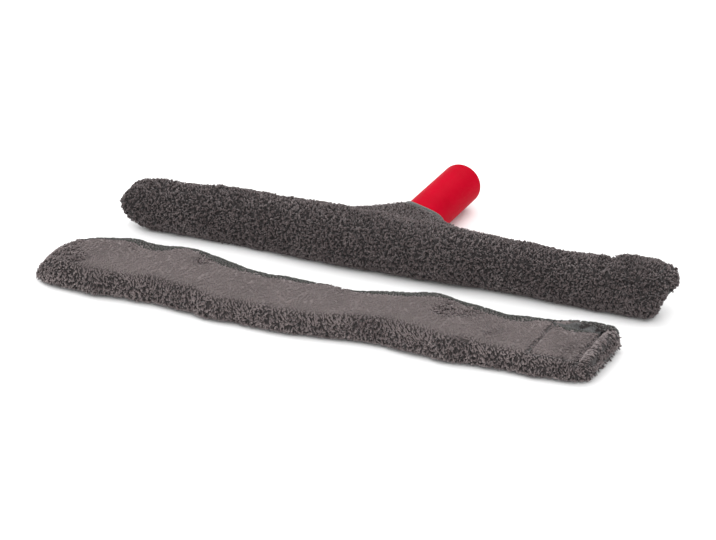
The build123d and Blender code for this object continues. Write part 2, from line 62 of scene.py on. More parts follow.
# station, then height, depth, swell over the clamp, lift and setback, as shares
roll_rows = np.array([
    (-1.000, 0.10, 0.70, 0.00, 0.16, 0.00),
    (-0.992, 0.34, 0.82, 0.00, 0.13, 0.00),
    (-0.972, 0.70, 0.92, 0.00, 0.08, 0.00),
    (-0.940, 0.92, 0.98, 0.00, 0.03, 0.00),
    (-0.890, 1.05, 1.00, 0.00, 0.02, 0.00),
    (-0.800, 1.03, 1.00, 0.00, 0.02, 0.00),
    (-0.700, 1.09, 0.99, 0.02, 0.05, 0.06),
    (-0.570, 1.12, 0.98, 0.15, 0.07, 0.09),
    (-0.430, 1.10, 0.99, 0.45, 0.05, 0.06),
    (-0.300, 1.08, 1.00, 0.95, 0.02, 0.03),
    (-0.180, 1.05, 1.00, 1.20, 0.00, 0.00),
    (0.000, 1.01, 1.00, 1.25, 0.00, 0.00),
    (0.160, 1.00, 1.00, 1.10, 0.00, 0.00),
    (0.250, 1.00, 1.00, 0.75, 0.02, 0.02),
    (0.350, 1.03, 1.00, 0.15, 0.04, 0.05),
    (0.450, 1.01, 1.00, 0.00, 0.04, 0.05),
    (0.660, 1.01, 1.00, 0.00, 0.00, 0.00),
    (0.710, 1.05, 1.00, 0.00, 0.01, 0.00),
    (0.752, 1.10, 1.00, 0.00, 0.02, 0.00),
    (0.780, 1.00, 1.00, 0.00, 0.00, 0.00),
    (0.850, 1.00, 1.00, 0.00, 0.00, 0.00),
    (0.930, 1.00, 1.00, 0.00, 0.00, 0.00),
    (0.958, 1.02, 0.99, 0.00, 0.03, 0.00),
    (0.974, 1.04, 0.96, 0.00, 0.09, 0.02),
    (0.987, 0.90, 0.90, 0.00, 0.19, 0.06),
    (0.995, 0.58, 0.80, 0.00, 0.27, 0.09),
    (1.000, 0.12, 0.66, 0.00, 0.30, 0.10),
])


def through(rows, stations):
    """A table's columns between its rows: cubic Hermite pieces through the rows. The slope at a
    row is the harmonic mean of the two slopes beside it, or 0 where they have opposite signs."""
    x, y = rows[:, 0], rows[:, 1:]
    rise = np.diff(y, axis=0) / np.diff(x)[:, None]
    before, after = rise[:-1], rise[1:]
    product = before * after
    inner = np.where(product > 0, 2 * product / np.where(product > 0, before + after, 1), 0)
    slope = np.concatenate([rise[:1], inner, rise[-1:]])
    at = np.clip(stations, x[0], x[-1])
    k = np.clip(np.searchsorted(x, at, side="right") - 1, 0, len(x) - 2)
    step = (x[k + 1] - x[k])[..., None]
    t = (at - x[k])[..., None] / step
    return np.moveaxis(
        (2 * t**3 - 3 * t**2 + 1) * y[k] + (t**3 - 2 * t**2 + t) * step * slope[k]
        + (3 * t**2 - 2 * t**3) * y[k + 1] + (t**3 - t**2) * step * slope[k + 1],
        -1, 0,
    )


def ripple(places, shortest, longest, seed, waves=24):
    """Uneven swelling of stuffed cloth at places in space: the mean of plane cosine waves with
    random headings, phases and wavelengths between shortest and longest, about -1 to 1."""
    rng = np.random.default_rng(seed)
    heading = rng.normal(size=(waves, 3))
    heading /= np.linalg.norm(heading, axis=1)[:, None]
    pitch = 2 * np.pi / rng.uniform(shortest, longest, waves)
    total = np.zeros(places.shape[:-1])
    for wave in range(waves):
        phase = rng.uniform(0, 2 * np.pi)
        total += np.cos(places @ (heading[wave] * pitch[wave]) + phase)
    return total * 1.4 / np.sqrt(waves)


def eased(share):
    """Smooth step from 0 to 1 of a share that is held between them: 3 s^2 - 2 s^3."""
    held = np.clip(share, 0, 1)
    return held * held * (3 - 2 * held)


def under_flap(station, hinge, turned, half_angle):
    """How far a place lies under a closing flap: 1 there, falling to 0 within a margin round it."""
    along = eased((station - hinge + flap_length) / flap_margin)
    along = along * eased((hinge + hinge_margin - station) / flap_margin)
    return along * eased((half_angle - np.abs(turned)) / flap_side_margin + 0.5)


def roll(u, v, inset=0.0):
    """Worn roll at share u of its half length and share v of the way round: an ellipse over the
    bar's axis and a second one under it, pressed flat on the floor, with gathers at its ends. Its
    pile is pressed flat under the flap, and its right end is drawn in below."""
    height, depth, swell, lift, setback = through(roll_rows, u)
    turn = 2 * np.pi * v
    from_top = turn % (2 * np.pi) - np.pi / 2
    pressed = under_flap(u * roll_half_length, worn_hinge, from_top, worn_flap_half_angle)
    inset = inset * (1 - flap_pressing * pressed)
    push = swell * clamp_swell
    upper = height * roll_radius + push
    lower = height * roll_under
    near_end = np.clip(np.abs(u) * 12 - 11, 0, 1)
    gather = 1 + gather_depth * near_end * np.cos(gather_count * turn + 2 * np.sin(2 * turn))
    up = np.sin(turn)
    tall = np.where(up > 0, upper, lower)
    across = (depth * roll_radius + push) * gather - inset
    z = bar_middle[2] + roll_radius * lift + (tall * gather - inset) * up
    drawn = worn_end_slant * eased((u - 0.88) / 0.12) * (1 - up) / 2
    place = np.stack([
        bar_middle[0] + u * (roll_half_length - inset) - drawn,
        bar_middle[1] + roll_radius * setback + across * np.cos(turn),
        z,
    ], -1)
    swelling = swelling_height * ripple(place, swelling_shortest, swelling_longest, 3) * (1 - pressed)
    place[..., 1] += swelling * np.cos(turn)
    place[..., 2] += swelling * up
    place[..., 2] = np.maximum(place[..., 2], floor_clearance)
    return place


collar_foot_half = 0.066
collar_top, collar_dip = 0.0420, 0.0160
collar_radius = 0.0196
collar_sink = 0.0012
leave_side, leave_back = 0.075, 0.05
arrive_side, arrive_back, arrive_down = 0.010, 0.040, 0.008


def collar_end(turn):
    """How far the collar's rim stands behind the bar's axis: least on top and further round."""
    return collar_top + collar_dip * np.tanh(1.9 * (1 - np.cos(turn - np.radians(75))))


def collar(u, v, inset=0.0):
    """Collar at share u of the way from the roll to its rim and share v round the handle: a cubic
    Hermite curve that leaves the roll along its skin and comes to the rim along the handle."""
    turn = -2 * np.pi * v
    side, up = np.cos(turn), np.sin(turn)
    lift = np.pi / 2 * up
    foot_x = collar_foot_half * side
    swell = through(roll_rows, foot_x / roll_half_length)[2] * clamp_swell
    foot_r = roll_radius + swell - collar_sink - inset
    foot = np.stack([foot_x, foot_r * np.cos(lift), foot_r * np.sin(lift)], -1)
    leave = np.stack([-leave_side * side, leave_back * np.abs(up) + 0 * side, 0 * side], -1)
    neck = collar_radius - inset
    rim = np.stack([neck * side, collar_end(turn), neck * up], -1)
    arrive = np.stack([-arrive_side * side, arrive_back + 0 * side, -arrive_down * up], -1)
    t = u[..., None]
    place = bar_middle + (
        (2 * t**3 - 3 * t**2 + 1) * foot + (t**3 - 2 * t**2 + t) * leave
        + (3 * t**2 - 2 * t**3) * rim + (t**3 - t**2) * arrive
    )
    place[..., 2] = np.maximum(place[..., 2], floor_clearance)
    return place


def tube(place):
    """Faces of a grid of points that is closed round its second direction, with a fan of
    triangles to a middle point at each end: points, corners, corner counts and a chart."""
    along, around = place.shape[:2]
    i, j = np.meshgrid(np.arange(along - 1), np.arange(around), indexing="ij")
    after = (j + 1) % around
    quads = np.stack([
        i * around + j, i * around + after, (i + 1) * around + after, (i + 1) * around + j,
    ], -1)
    share = lambda row, column: np.stack([row / (along - 1), column / around], -1)
    chart = np.stack([share(i, j), share(i, j + 1), share(i + 1, j + 1), share(i + 1, j)], -2)
    points = [place.reshape(-1, 3)]
    corners, sizes = [quads.reshape(-1)], [np.full(quads.size // 4, 4)]
    charts = [chart.reshape(-1, 2)]
    j, count = np.arange(around), along * around
    after = (j + 1) % around
    for row, flip in ((0, True), (along - 1, False)):
        points.append(place[row].mean(0)[None])
        rim = row * around
        fan = [rim + after, rim + j] if flip else [rim + j, rim + after]
        corners.append(np.stack([*fan, np.full(around, count)], -1).reshape(-1))
        sizes.append(np.full(around, 3))
        edge = [share(row + 0 * j, j + 1), share(row + 0 * j, j)]
        edge = edge if flip else edge[::-1]
        charts.append(np.stack([*edge, share(row + 0 * j, j + 0.5)], -2).reshape(-1, 2))
        count += 1
    return tuple(np.concatenate(rows) for rows in (points, corners, sizes, charts))


def skin(surface, u, v):
    """Place, outward direction and the two directions along a surface, from small steps of its
    two parameters."""
    step = 1e-4
    place = surface(u, v)
    along = surface(np.minimum(u + step, 1), v) - surface(np.maximum(u - step, -1), v)
    around = surface(u, v + step) - surface(u, v - step)
    out = np.cross(around, along)
    area = np.linalg.norm(out, axis=-1)
    out /= area[..., None] + 1e-30
    along /= np.linalg.norm(along, axis=-1)[..., None] + 1e-30
    return place, out, along, np.cross(along, out), area / (4 * step * step)


def roots(surface, low, high, spacing, seed):
    """Parameters of lock roots spread evenly over a surface: an additive low-discrepancy sequence
    in both parameters, thinned where the surface is smaller than at its fullest."""
    rng = np.random.default_rng(seed)
    u, v = np.meshgrid(np.linspace(low, high, 160), np.linspace(0, 1, 120), indexing="ij")
    area = skin(surface, np.clip(u, low + 1e-3, high - 1e-3), v)[4]
    fullest = np.percentile(area, 97)
    count = int(fullest * (high - low) / spacing**2)
    n = np.arange(count)
    u = low + (high - low) * ((0.5 + n * 0.7548776662) % 1)
    v = (0.5 + n * 0.5698402910) % 1
    u = np.clip(u + rng.uniform(-0.5, 0.5, count) * (high - low) / np.sqrt(count), low, high)
    here = skin(surface, np.clip(u, low + 1e-3, high - 1e-3), v)[4]
    kept = rng.uniform(size=count) < here / fullest
    return u[kept], v[kept]


def unit(vectors):
    """Vectors scaled to length 1."""
    return vectors / (np.linalg.norm(vectors, axis=-1, keepdims=True) + 1e-12)


def locks(root, out, first, second, length, width, tone):
    """Locks of pile, each a three-sided spike that is closed at its root. Its spine is a cubic
    curve: it leaves the skin outward, bends over by its first lean and curls by its second. The
    chart holds a lock's tone across and its height up."""
    knots = np.cumsum([
        0 * root, unit(out + 0.25 * first) * 0.34, unit(0.55 * out + first) * 0.36,
        unit(0.12 * out + second) * 0.30,
    ], axis=0) * length[:, None]
    side = unit(np.cross(out, first) + 1e-6)
    heights, fullness = np.array([0.0, 0.42, 0.78]), np.array([0.80, 1.0, 0.80])
    t = heights[None, :, None]
    spine = (
        3 * t * (1 - t) ** 2 * knots[1][:, None] + 3 * t**2 * (1 - t) * knots[2][:, None]
        + t**3 * knots[3][:, None]
    )
    heading = unit(
        (1 - t) ** 2 * knots[1][:, None] + 2 * t * (1 - t) * (knots[2] - knots[1])[:, None]
        + t**2 * (knots[3] - knots[2])[:, None]
    )
    level = unit(side[:, None] - heading * (side[:, None] * heading).sum(-1, keepdims=True))
    second_axis = np.cross(heading, level)
    turn = 2 * np.pi * np.arange(3)[:, None] / 3
    round_it = np.cos(turn) * level[:, :, None] + np.sin(turn) * second_axis[:, :, None]
    thick = (width[:, None] * fullness)[:, :, None, None]
    rings = (root[:, None] + spine)[:, :, None] + round_it * thick
    count = len(root)
    points = np.concatenate([rings.reshape(count, 9, 3), (root + knots[3])[:, None]], 1)
    k, after = np.arange(3), (np.arange(3) + 1) % 3
    quads = np.concatenate([
        np.stack([k + low, after + low, after + low + 3, k + low + 3], -1) for low in (0, 3)
    ])
    ends = np.concatenate([np.stack([k + 6, after + 6, np.full(3, 9)], -1), [[2, 1, 0]]])
    begin = (10 * np.arange(count))[:, None, None]
    corners = np.concatenate([(begin + quads).reshape(-1), (begin + ends).reshape(-1)])
    sizes = np.concatenate([np.full(6 * count, 4), np.full(4 * count, 3)])
    across = np.concatenate([np.tile([-0.006, 0.006, 0.0], 3), [0.0]])
    up = np.concatenate([np.repeat(heights, 3), [1.0]])
    chart = np.stack([
        0.02 + 0.96 * tone[:, None] + across, 0.52 + 0.46 * up + 0 * tone[:, None],
    ], -1)
    return points.reshape(-1, 3), corners, sizes, chart.reshape(-1, 2)[corners]


def gathered(u, v, u_length, v_length, cell, seed):
    """Pull of each lock towards the middle of the clump that it belongs to, in both directions
    along the skin and as a share of the clump's size, with three random shares of the clump."""
    rng = np.random.default_rng(seed)
    rows, columns = int(u_length / cell) + 3, max(int(v_length / cell), 1)
    a, b = u * u_length / 2 / cell + rows / 2, (v % 1) * columns
    b = b + 0.5 * (np.floor(a) % 2)
    i = np.clip(np.floor(a), 0, rows - 1).astype(int)
    j = np.floor(b).astype(int) % columns
    table = rng.uniform(size=(rows, columns, 5))[i, j]
    to_u = np.floor(a) + 0.2 + 0.6 * table[:, 0] - a
    return to_u, np.floor(b) + 0.2 + 0.6 * table[:, 1] - b, table[:, 2:]


def shape(name, *parts):
    """One mesh object from parts, each with its points, corners, corner counts and chart."""
    points = np.concatenate([part[0] for part in parts])
    shift = np.cumsum([0] + [len(part[0]) for part in parts])
    corners = np.concatenate([part[1] + shift[n] for n, part in enumerate(parts)]).astype(np.int32)
    sizes = np.concatenate([part[2] for part in parts]).astype(np.int32)
    chart = np.concatenate([part[3] for part in parts])
    mesh = bpy.data.meshes.new(name)
    mesh.vertices.add(len(points))
    mesh.vertices.foreach_set("co", points.astype(np.float32).ravel())
    mesh.loops.add(len(corners))
    mesh.loops.foreach_set("vertex_index", corners)
    mesh.polygons.add(len(sizes))
    mesh.polygons.foreach_set("loop_start", (np.cumsum(sizes) - sizes).astype(np.int32))
    mesh.uv_layers.new(name="OFBake").data.foreach_set("uv", chart.astype(np.float32).ravel())
    mesh.polygons.foreach_set("use_smooth", np.ones(len(sizes), bool))
    mesh.update(calc_edges=True)
    mesh.validate()
    piece = bpy.data.objects.new(name, mesh)
    bpy.context.collection.objects.link(piece)
    return piece


def fitted(name, finish, body, node, slot, *parts):
    """A finished piece from its parts, which rides on its body and stands for its CAD node."""
    piece = shape(name, *parts)
    piece.data.materials.append(finish)
    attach(piece, body)
    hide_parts(node)
    return piece


def ground(part):
    """A closed skin's part with its chart moved to the lower half, where the ground's finish is."""
    points, corners, sizes, chart = part
    return points, corners, sizes, chart * [0.98, 0.46] + [0.01, 0.01]


class Wire:
    """A number carried between a finish's nodes: sums, differences, products and quotients of
    wires and plain numbers add the Math nodes that work them out."""

    def __init__(self, finish, socket):
        self.finish, self.socket = finish, socket

    def _math(self, operation, first, second):
        return self.finish.add("ShaderNodeMath", {"operation": operation}, {0: first, 1: second})

    def __add__(self, other):
        return self._math("ADD", self, other)

    def __radd__(self, other):
        return self._math("ADD", other, self)

    def __sub__(self, other):
        return self._math("SUBTRACT", self, other)

    def __rsub__(self, other):
        return self._math("SUBTRACT", other, self)

    def __mul__(self, other):
        return self._math("MULTIPLY", self, other)

    def __rmul__(self, other):
        return self._math("MULTIPLY", other, self)

    def __truediv__(self, other):
        return self._math("DIVIDE", self, other)

    def __rtruediv__(self, other):
        return self._math("DIVIDE", other, self)

    def above(self, level):
        return self._math("GREATER_THAN", self, level)


class Finish:
    """A material and the one method that adds nodes to it."""

    def __init__(self, name):
        self.material = bpy.data.materials.new(name)
        self.material.use_nodes = True
        self.tree = self.material.node_tree
        self.tree.nodes.clear()

    def add(self, kind, settings=None, sockets=None, out=0):
        """Adds a node, sets its settings and then its sockets, and returns its output as a wire.
        A setting called stops fills a colour ramp; a socket's value is a wire or plain numbers."""
        node = self.tree.nodes.new(kind)
        for setting, value in (settings or {}).items():
            if setting == "stops":
                elements = node.color_ramp.elements
                for position, colour in value[2:]:
                    elements.new(position)
                for element, (position, colour) in zip(elements, value):
                    element.position, element.color = position, (*colour, 1)
            else:
                setattr(node, setting, value)
        for socket, value in (sockets or {}).items():
            if isinstance(value, Wire):
                self.tree.links.new(value.socket, node.inputs[socket])
            else:
                node.inputs[socket].default_value = value
        return Wire(self, node.outputs[out]) if len(node.outputs) else node


def plush_finish(name, gain=1.0, brushed=False):
    """Plush: dark at a lock's root, painted shade deep in the pile, and lighter at its tip, each lock
    with its own tone, and a dark uneven ground between the locks, painted shade of the gaps in the
    pile. Fibres streak it lengthwise. Locks are charted above half. A brushed plush has a light
    ground on its upper face, a painted sheen, charted from 0.02 to 0.21, but from the flap on, which
    is charted from 0.765, only along its back edge."""
    finish = Finish(name)
    chart = finish.add("ShaderNodeUVMap", {"uv_map": "OFBake"})
    tone = finish.add("ShaderNodeSeparateXYZ", None, {0: chart}, out=0)
    height = finish.add("ShaderNodeSeparateXYZ", None, {0: chart}, out=1)
    up = (height - 0.52) / 0.46
    stretched = finish.add(
        "ShaderNodeMapping", {"vector_type": "POINT"}, {"Vector": chart, "Scale": (1, 0.02, 1)},
    )
    fibre = finish.add(
        "ShaderNodeTexNoise", None, {"Vector": stretched, "Scale": 260.0, "Detail": 2.0},
    )
    shade = up * 0.85 + (fibre - 0.5) * 0.35
    # Lock colour from root to tip: the near-black root is painted shade deep in the pile.
    lock = finish.add("ShaderNodeValToRGB", {"stops": [
        (0.0, (0.004 * gain, 0.0032 * gain, 0.0032 * gain)),
        (0.35, (0.030 * gain, 0.024 * gain, 0.024 * gain)),
        (0.75, (0.132 * gain, 0.110 * gain, 0.109 * gain)),
        (1.0, (0.290 * gain, 0.250 * gain, 0.246 * gain)),
    ]}, {0: shade})
    # Tone ramp; its stops from 0.92 on give the greenish-grey rim colour, which along the spare's back
    # edge is painted shade.
    toned = finish.add("ShaderNodeValToRGB", {"stops": [
        (0.0, (0.38, 0.34, 0.34)), (0.31, (0.80, 0.74, 0.74)), (0.57, (1.02, 1.0, 1.0)),
        (0.88, (1.75, 1.74, 1.72)), (0.92, (0.76, 0.93, 0.88)), (1.0, (0.76, 0.93, 0.88)),
    ]}, {0: tone})
    multiplied = {"data_type": "RGBA", "blend_type": "MULTIPLY"}
    lock = finish.add("ShaderNodeMix", multiplied, {0: 1.0, 6: lock, 7: toned}, out=2)
    place = finish.add("ShaderNodeTexCoord", out="Object")
    speck = finish.add("ShaderNodeTexNoise", None, {"Vector": place, "Scale": 700.0, "Detail": 3.0})
    # Ground between the locks: near-black, painted shade of the gaps in the pile.
    floor = finish.add("ShaderNodeValToRGB", {"stops": [
        (0.3, (0.008 * gain, 0.007 * gain, 0.007 * gain)),
        (0.7, (0.036 * gain, 0.030 * gain, 0.030 * gain)),
    ]}, {0: speck})
    if brushed:
        none, all_of_it = (0, 0, 0), (1, 1, 1)
        # Light ground of the brushed upper face: painted sheen where the nap lies smooth.
        nap = finish.add("ShaderNodeValToRGB", {"stops": [
            (0.3, (0.100 * gain, 0.083 * gain, 0.081 * gain)),
            (0.7, (0.165 * gain, 0.140 * gain, 0.137 * gain)),
        ]}, {0: speck})
        face = finish.add("ShaderNodeValToRGB", {"stops": [
            (0.0, none), (0.014, none), (0.034, all_of_it), (0.185, all_of_it), (0.215, none),
        ]}, {0: height})
        ahead = finish.add(
            "ShaderNodeValToRGB", {"stops": [(0.762, all_of_it), (0.768, none)]}, {0: tone},
        )
        rim = finish.add(
            "ShaderNodeValToRGB", {"stops": [(0.044, all_of_it), (0.048, none)]}, {0: height},
        )
        ahead = finish.add(
            "ShaderNodeMix", {"data_type": "RGBA", "blend_type": "LIGHTEN"},
            {0: 1.0, 6: ahead, 7: rim}, out=2,
        )
        face = finish.add("ShaderNodeMix", multiplied, {0: 1.0, 6: face, 7: ahead}, out=2)
        floor = finish.add(
            "ShaderNodeMix", {"data_type": "RGBA"}, {0: face, 6: floor, 7: nap}, out=2,
        )
    charted_as_lock = height.above(0.495)
    colour = finish.add(
        "ShaderNodeMix", {"data_type": "RGBA"}, {0: charted_as_lock, 6: floor, 7: lock}, out=2,
    )
    shader = finish.add("ShaderNodeBsdfPrincipled", None, {
        "Base Color": colour, "Roughness": 0.86, "Specular IOR Level": 0.25,
        "Sheen Weight": 0.30, "Sheen Roughness": 0.45, "Sheen Tint": (0.80, 0.76, 0.77, 1),
    })
    finish.add("ShaderNodeOutputMaterial", None, {"Surface": shader})
    return finish.material


worn_plush = plush_finish("worn plush")
root_depth = 0.0005
curl_shortest, curl_longest = 0.004, 0.011
clump_pull = 1.2


def furred(surface, low, high, spacing, clump, seed, nap, length, width, tone_of, keep=None):
    """Locks over a surface. The nap of a place gives each lock's lean, its length as a share and
    how strongly it curls; its heading wanders smoothly, and its tip is drawn to its clump. A tone
    of 1 marks a rim, which gets the greenish-grey rim colour; along the spare's back edge that
    colour is painted shade."""
    rng = np.random.default_rng(seed)
    u, v = roots(surface, low, high, spacing, seed)
    if keep is not None:
        kept = keep(u, v)
        u, v = u[kept], v[kept]
    place, out, along, around, _ = skin(surface, np.clip(u, low + 1e-3, high - 1e-3), v)
    middle = (low + high) / 2
    spread = surface(np.array([low, high]), np.array([0.5, 0.5]))
    ring = surface(np.full(64, middle), np.linspace(0, 1, 64))
    u_length = np.linalg.norm(spread[1] - spread[0]) * 2 / (high - low)
    v_length = np.linalg.norm(np.diff(ring, axis=0), axis=1).sum()
    to_u, to_v, clump_shares = gathered(u, v, u_length, v_length, clump, seed + 1)
    lean, reach, curl = nap(place, out)
    lean = lean - out * (lean * out).sum(-1, keepdims=True)
    heading = np.pi * ripple(place, curl_shortest, curl_longest, seed + 2)
    heading = heading + 0.5 * rng.normal(size=len(u))
    bend = heading + (1.1 + 0.9 * rng.uniform(size=len(u))) * np.sign(clump_shares[:, 1] - 0.5)
    first = along * np.cos(heading)[:, None] + around * np.sin(heading)[:, None]
    first = lean + first * curl[:, None]
    second = (
        along * (np.cos(bend) + clump_pull * to_u)[:, None]
        + around * (np.sin(bend) + clump_pull * to_v)[:, None]
    )
    second = lean + second * curl[:, None]
    long = length * reach * (0.8 + 0.25 * clump_shares[:, 0] + 0.25 * rng.uniform(size=len(u)))
    thick = width * rng.uniform(0.75, 1.3, len(u))
    base = tone_of(place, out)
    tone = base + (0.15 * rng.normal(size=len(u)) + 0.42 * (clump_shares[:, 0] - 0.5)) * curl
    tone = np.where(base >= 1, 0.96, 0.88 * np.clip(tone, 0, 1))
    foot = place - out * root_depth
    points, corners, sizes, chart = locks(foot, out, first, second, long, thick, tone)
    points[:, 2] = np.maximum(points[:, 2], floor_clearance)
    return points, corners, sizes, chart


def worn_nap(place, out):
    """Nap of the worn pile: it curls every way, a little downward on the front and back on top."""
    top = np.clip((place[:, 2] - bar_middle[2]) / roll_radius, 0, 1)[:, None]
    lean = np.array([0.10, -0.05, -0.35]) * (1 - top) + np.array([0.15, 0.35, 0.0]) * top
    return lean, np.ones(len(place)), np.full(len(place), 0.85)


collar_rim_width, collar_rim_fade = 0.004, 0.007


def collar_rim(place):
    """How near a place of the collar is to its rim, from 0 to 1."""
    turn = np.arctan2(place[:, 2] - bar_middle[2], place[:, 0] - bar_middle[0])
    short_of_it = bar_middle[1] + collar_end(turn) - place[:, 1]
    return 1 - eased((short_of_it - collar_rim_width) / collar_rim_fade)


def collar_tone(place, out):
    """Tone of the collar: as the roll's, and the rim's own colour along the rim."""
    return np.where(collar_rim(place) > 0.5, 1.0, worn_tone_and_floor_bounce(place, out))


def collar_nap(place, out):
    """Nap of the collar: it lies back along the handle, flat and short along the rim."""
    reach = 1 - collar_rim(place)
    return np.array([0.1, 0.7, 0.0]) + 0 * place, 0.45 + 0.55 * reach, 0.25 + 0.55 * reach


# Band of painted light low on the worn sleeve's front, bounced up from the white floor.
floor_bounce_height, floor_bounce_reach = 0.006, 0.004
patch_shortest, patch_longest = 0.02, 0.07


def worn_tone_and_floor_bounce(place, out):
    """Tone of the worn pile: near the middle, lighter in a band low on the front, which is painted light
    bounced up from the floor.
    """
    low = np.exp(-((place[:, 2] - floor_bounce_height) / floor_bounce_reach) ** 2)
    return 0.42 + 0.10 * low + 0.08 * ripple(place, patch_shortest, patch_longest, 11)


def stations(count):
    """Shares from -1 to 1, closer together towards both ends."""
    return np.sin(np.linspace(-np.pi / 2, np.pi / 2, count))


lock_spacing = 0.00146
worn_clump, worn_lock_length, worn_lock_width = 0.0038, 0.0045, 0.00060
collar_pile_height = worn_pile_height * 0.7
collar_spacing, collar_clump, collar_lock_length, collar_lock_width = 0.0013, 0.0027, 0.0038, 0.00050
roll_u, roll_v = np.meshgrid(stations(300), np.arange(96) / 96, indexing="ij")
worn_ground = tube(roll(roll_u, roll_v, worn_pile_height))
collar_u, collar_v = np.meshgrid(np.linspace(0, 1, 60), np.arange(96) / 96, indexing="ij")
collar_ground = tube(collar(collar_u, collar_v, collar_pile_height))


def bare_roll(u, v):
    """Where the worn roll has no pile of its own: under the flap and inside the collar."""
    station = u * roll_half_length
    from_top = 2 * np.pi * (v % 1) - np.pi / 2
    flat = under_flap(station, worn_hinge, from_top, worn_flap_half_angle)
    inside = (np.abs(station) < collar_foot_half * 0.86) & (np.abs((v + 0.5) % 1 - 0.5) < 0.13)
    return (flat > 0.3) | inside


worn_roll_locks = [
    furred(
        lambda u, v: roll(u, v, worn_pile_height), low, high, lock_spacing, worn_clump, seed,
        worn_nap, worn_lock_length, worn_lock_width, worn_tone_and_floor_bounce, keep=lambda u, v: ~bare_roll(u, v),
    )
    for low, high, seed in ((-1.0, -0.97, 22), (-0.97, 0.97, 21), (0.97, 1.0, 23))
]
collar_locks = furred(
    lambda u, v: collar(u, v, collar_pile_height), 0.02, 1.0, collar_spacing, collar_clump, 31,
    collar_nap, collar_lock_length, collar_lock_width, collar_tone,
)
worn_sleeve = fitted(
    "worn_sleeve_plush", worn_plush, "washer", "worn_pile", "plush",
    ground(worn_ground), ground(collar_ground), *worn_roll_locks, collar_locks,
)

# Closing flap of the worn sleeve: a pad of the same plush, sewn along its root near the sleeve's
# end and laid back over the roll, where it stands up as a low step. Its free corners are round.
flap_root_gap = 0.0012
flap_gap = 0.0003
flap_root_height = 0.0034
flap_rise_length = 0.0080
flap_corner = 0.0070
thinnest_pile = 0.0006
pocket_start, pocket_end, pocket_depth, pocket_ease = 0.0068, 0.0262, 0.0024, 0.0008
flap_pile_height = 0.0022
flap_spacing, flap_clump, flap_lock_length, flap_lock_width = 0.0013, 0.0027, 0.0042, 0.00052
worn_tape_half_angle = np.radians(32)
worn_flap_height, worn_flap_step = 0.0055, 0.0120


def flap_form(
    centre, seat, hinge, half_angle, tape_half_angle, full_height, step, root_height=flap_root_height,
):
    """Surface of a closing flap on a cylinder of radius seat along X, from its free edge at -1 to
    its root at 1: low at the root, rising over a step, round in plan at its free corners, a half
    superellipse above and flat below, with a shallow pocket where the tapes lie."""
    def face(u, v, inset=0.0):
        length = flap_length - flap_root_gap
        edge = 0.35 * inset
        from_free = (1 + u) / 2 * (length - edge) + edge
        rise = root_height + (full_height - root_height) * eased((length - from_free) / flap_rise_length)
        blunt = 1 - np.clip(1 - (from_free - edge) / step, 0, 1) ** 2
        corner = np.clip(1 - from_free / flap_corner, 0, 1)
        half_width = seat * half_angle - flap_corner * (1 - np.sqrt(1 - corner**2)) - edge
        turn = 2 * np.pi * v
        across, up = np.cos(turn), np.sin(turn)
        angle = half_width / seat * across
        over = np.maximum(rise * np.sqrt(blunt) - inset, thinnest_pile) * np.clip(up, 0, 1) ** 0.6
        inside = eased((from_free - pocket_start) / pocket_ease)
        inside = inside * eased((pocket_end - from_free) / pocket_ease)
        inside = inside * eased((tape_half_angle * 1.06 - np.abs(angle)) * seat / pocket_ease) * (up < 0)
        radius = seat + flap_gap + over + pocket_depth * inside
        x = centre[0] + hinge - flap_length + from_free
        return np.stack([
            x, centre[1] + radius * np.sin(angle), centre[2] + radius * np.cos(angle),
        ], -1)
    return face


def furred_flap(name, face, seed, nap, tone_of, finish, body, node):
    """A closing flap as one padded piece: its skin, and locks over all but its underside."""
    u, v = np.meshgrid(stations(90), np.arange(120) / 120, indexing="ij")
    pile = furred(
        lambda u, v: face(u, v, flap_pile_height), -1.0, 1.0, flap_spacing, flap_clump, seed, nap,
        flap_lock_length, flap_lock_width, tone_of, keep=lambda u, v: np.sin(2 * np.pi * v) > 0.04,
    )
    skin_part = ground(tube(face(u, v, flap_pile_height)))
    piece = fitted(name, finish, body, node, "plush", skin_part, pile)
    return piece


worn_flap_face = flap_form(
    bar_middle, roll_radius, worn_hinge, worn_flap_half_angle, worn_tape_half_angle,
    worn_flap_height, worn_flap_step,
)
furred_flap(
    "worn_flap_plush", worn_flap_face, 61, worn_nap, worn_tone_and_floor_bounce, worn_plush,
    "worn_closing_flap", "worn_flap",
)

# Hook-and-loop tape of the worn sleeve: fuzzy loops on the roll and rows of small hooks on the
# underside of the flap, each on a thin woven strip with sewn edges.
tape_thickness = 0.0009
tape_gap = 0.0003
tape_start, tape_end = 0.0070, 0.0260
shortest_hook, longest_hook, hook_width = 0.0009, 0.0011, 0.00009


def strip_form(centre, inner, hinge, half_angle):
    """Surface of a tape strip on a cylinder along X: a flat ring whose edges are thinner."""
    corners = np.array([0.0, 0.04, 0.46, 0.54, 0.96, 1.0])

    def face(u, v):
        across = np.interp(v % 1, corners, [1, 1, -1, -1, 1, 1])
        up = np.interp(v % 1, corners, [0, 1, 1, -1, -1, 0])
        up = up * (1 - 0.35 * across**30) * (1 - 0.35 * u**30)
        angle = half_angle * across
        radius = inner + tape_thickness * (0.5 + 0.5 * up)
        x = centre[0] + hinge - flap_length + tape_start + (1 + u) / 2 * (tape_end - tape_start)
        return np.stack([
            x, centre[1] + radius * np.sin(angle), centre[2] + radius * np.cos(angle),
        ], -1)
    return face


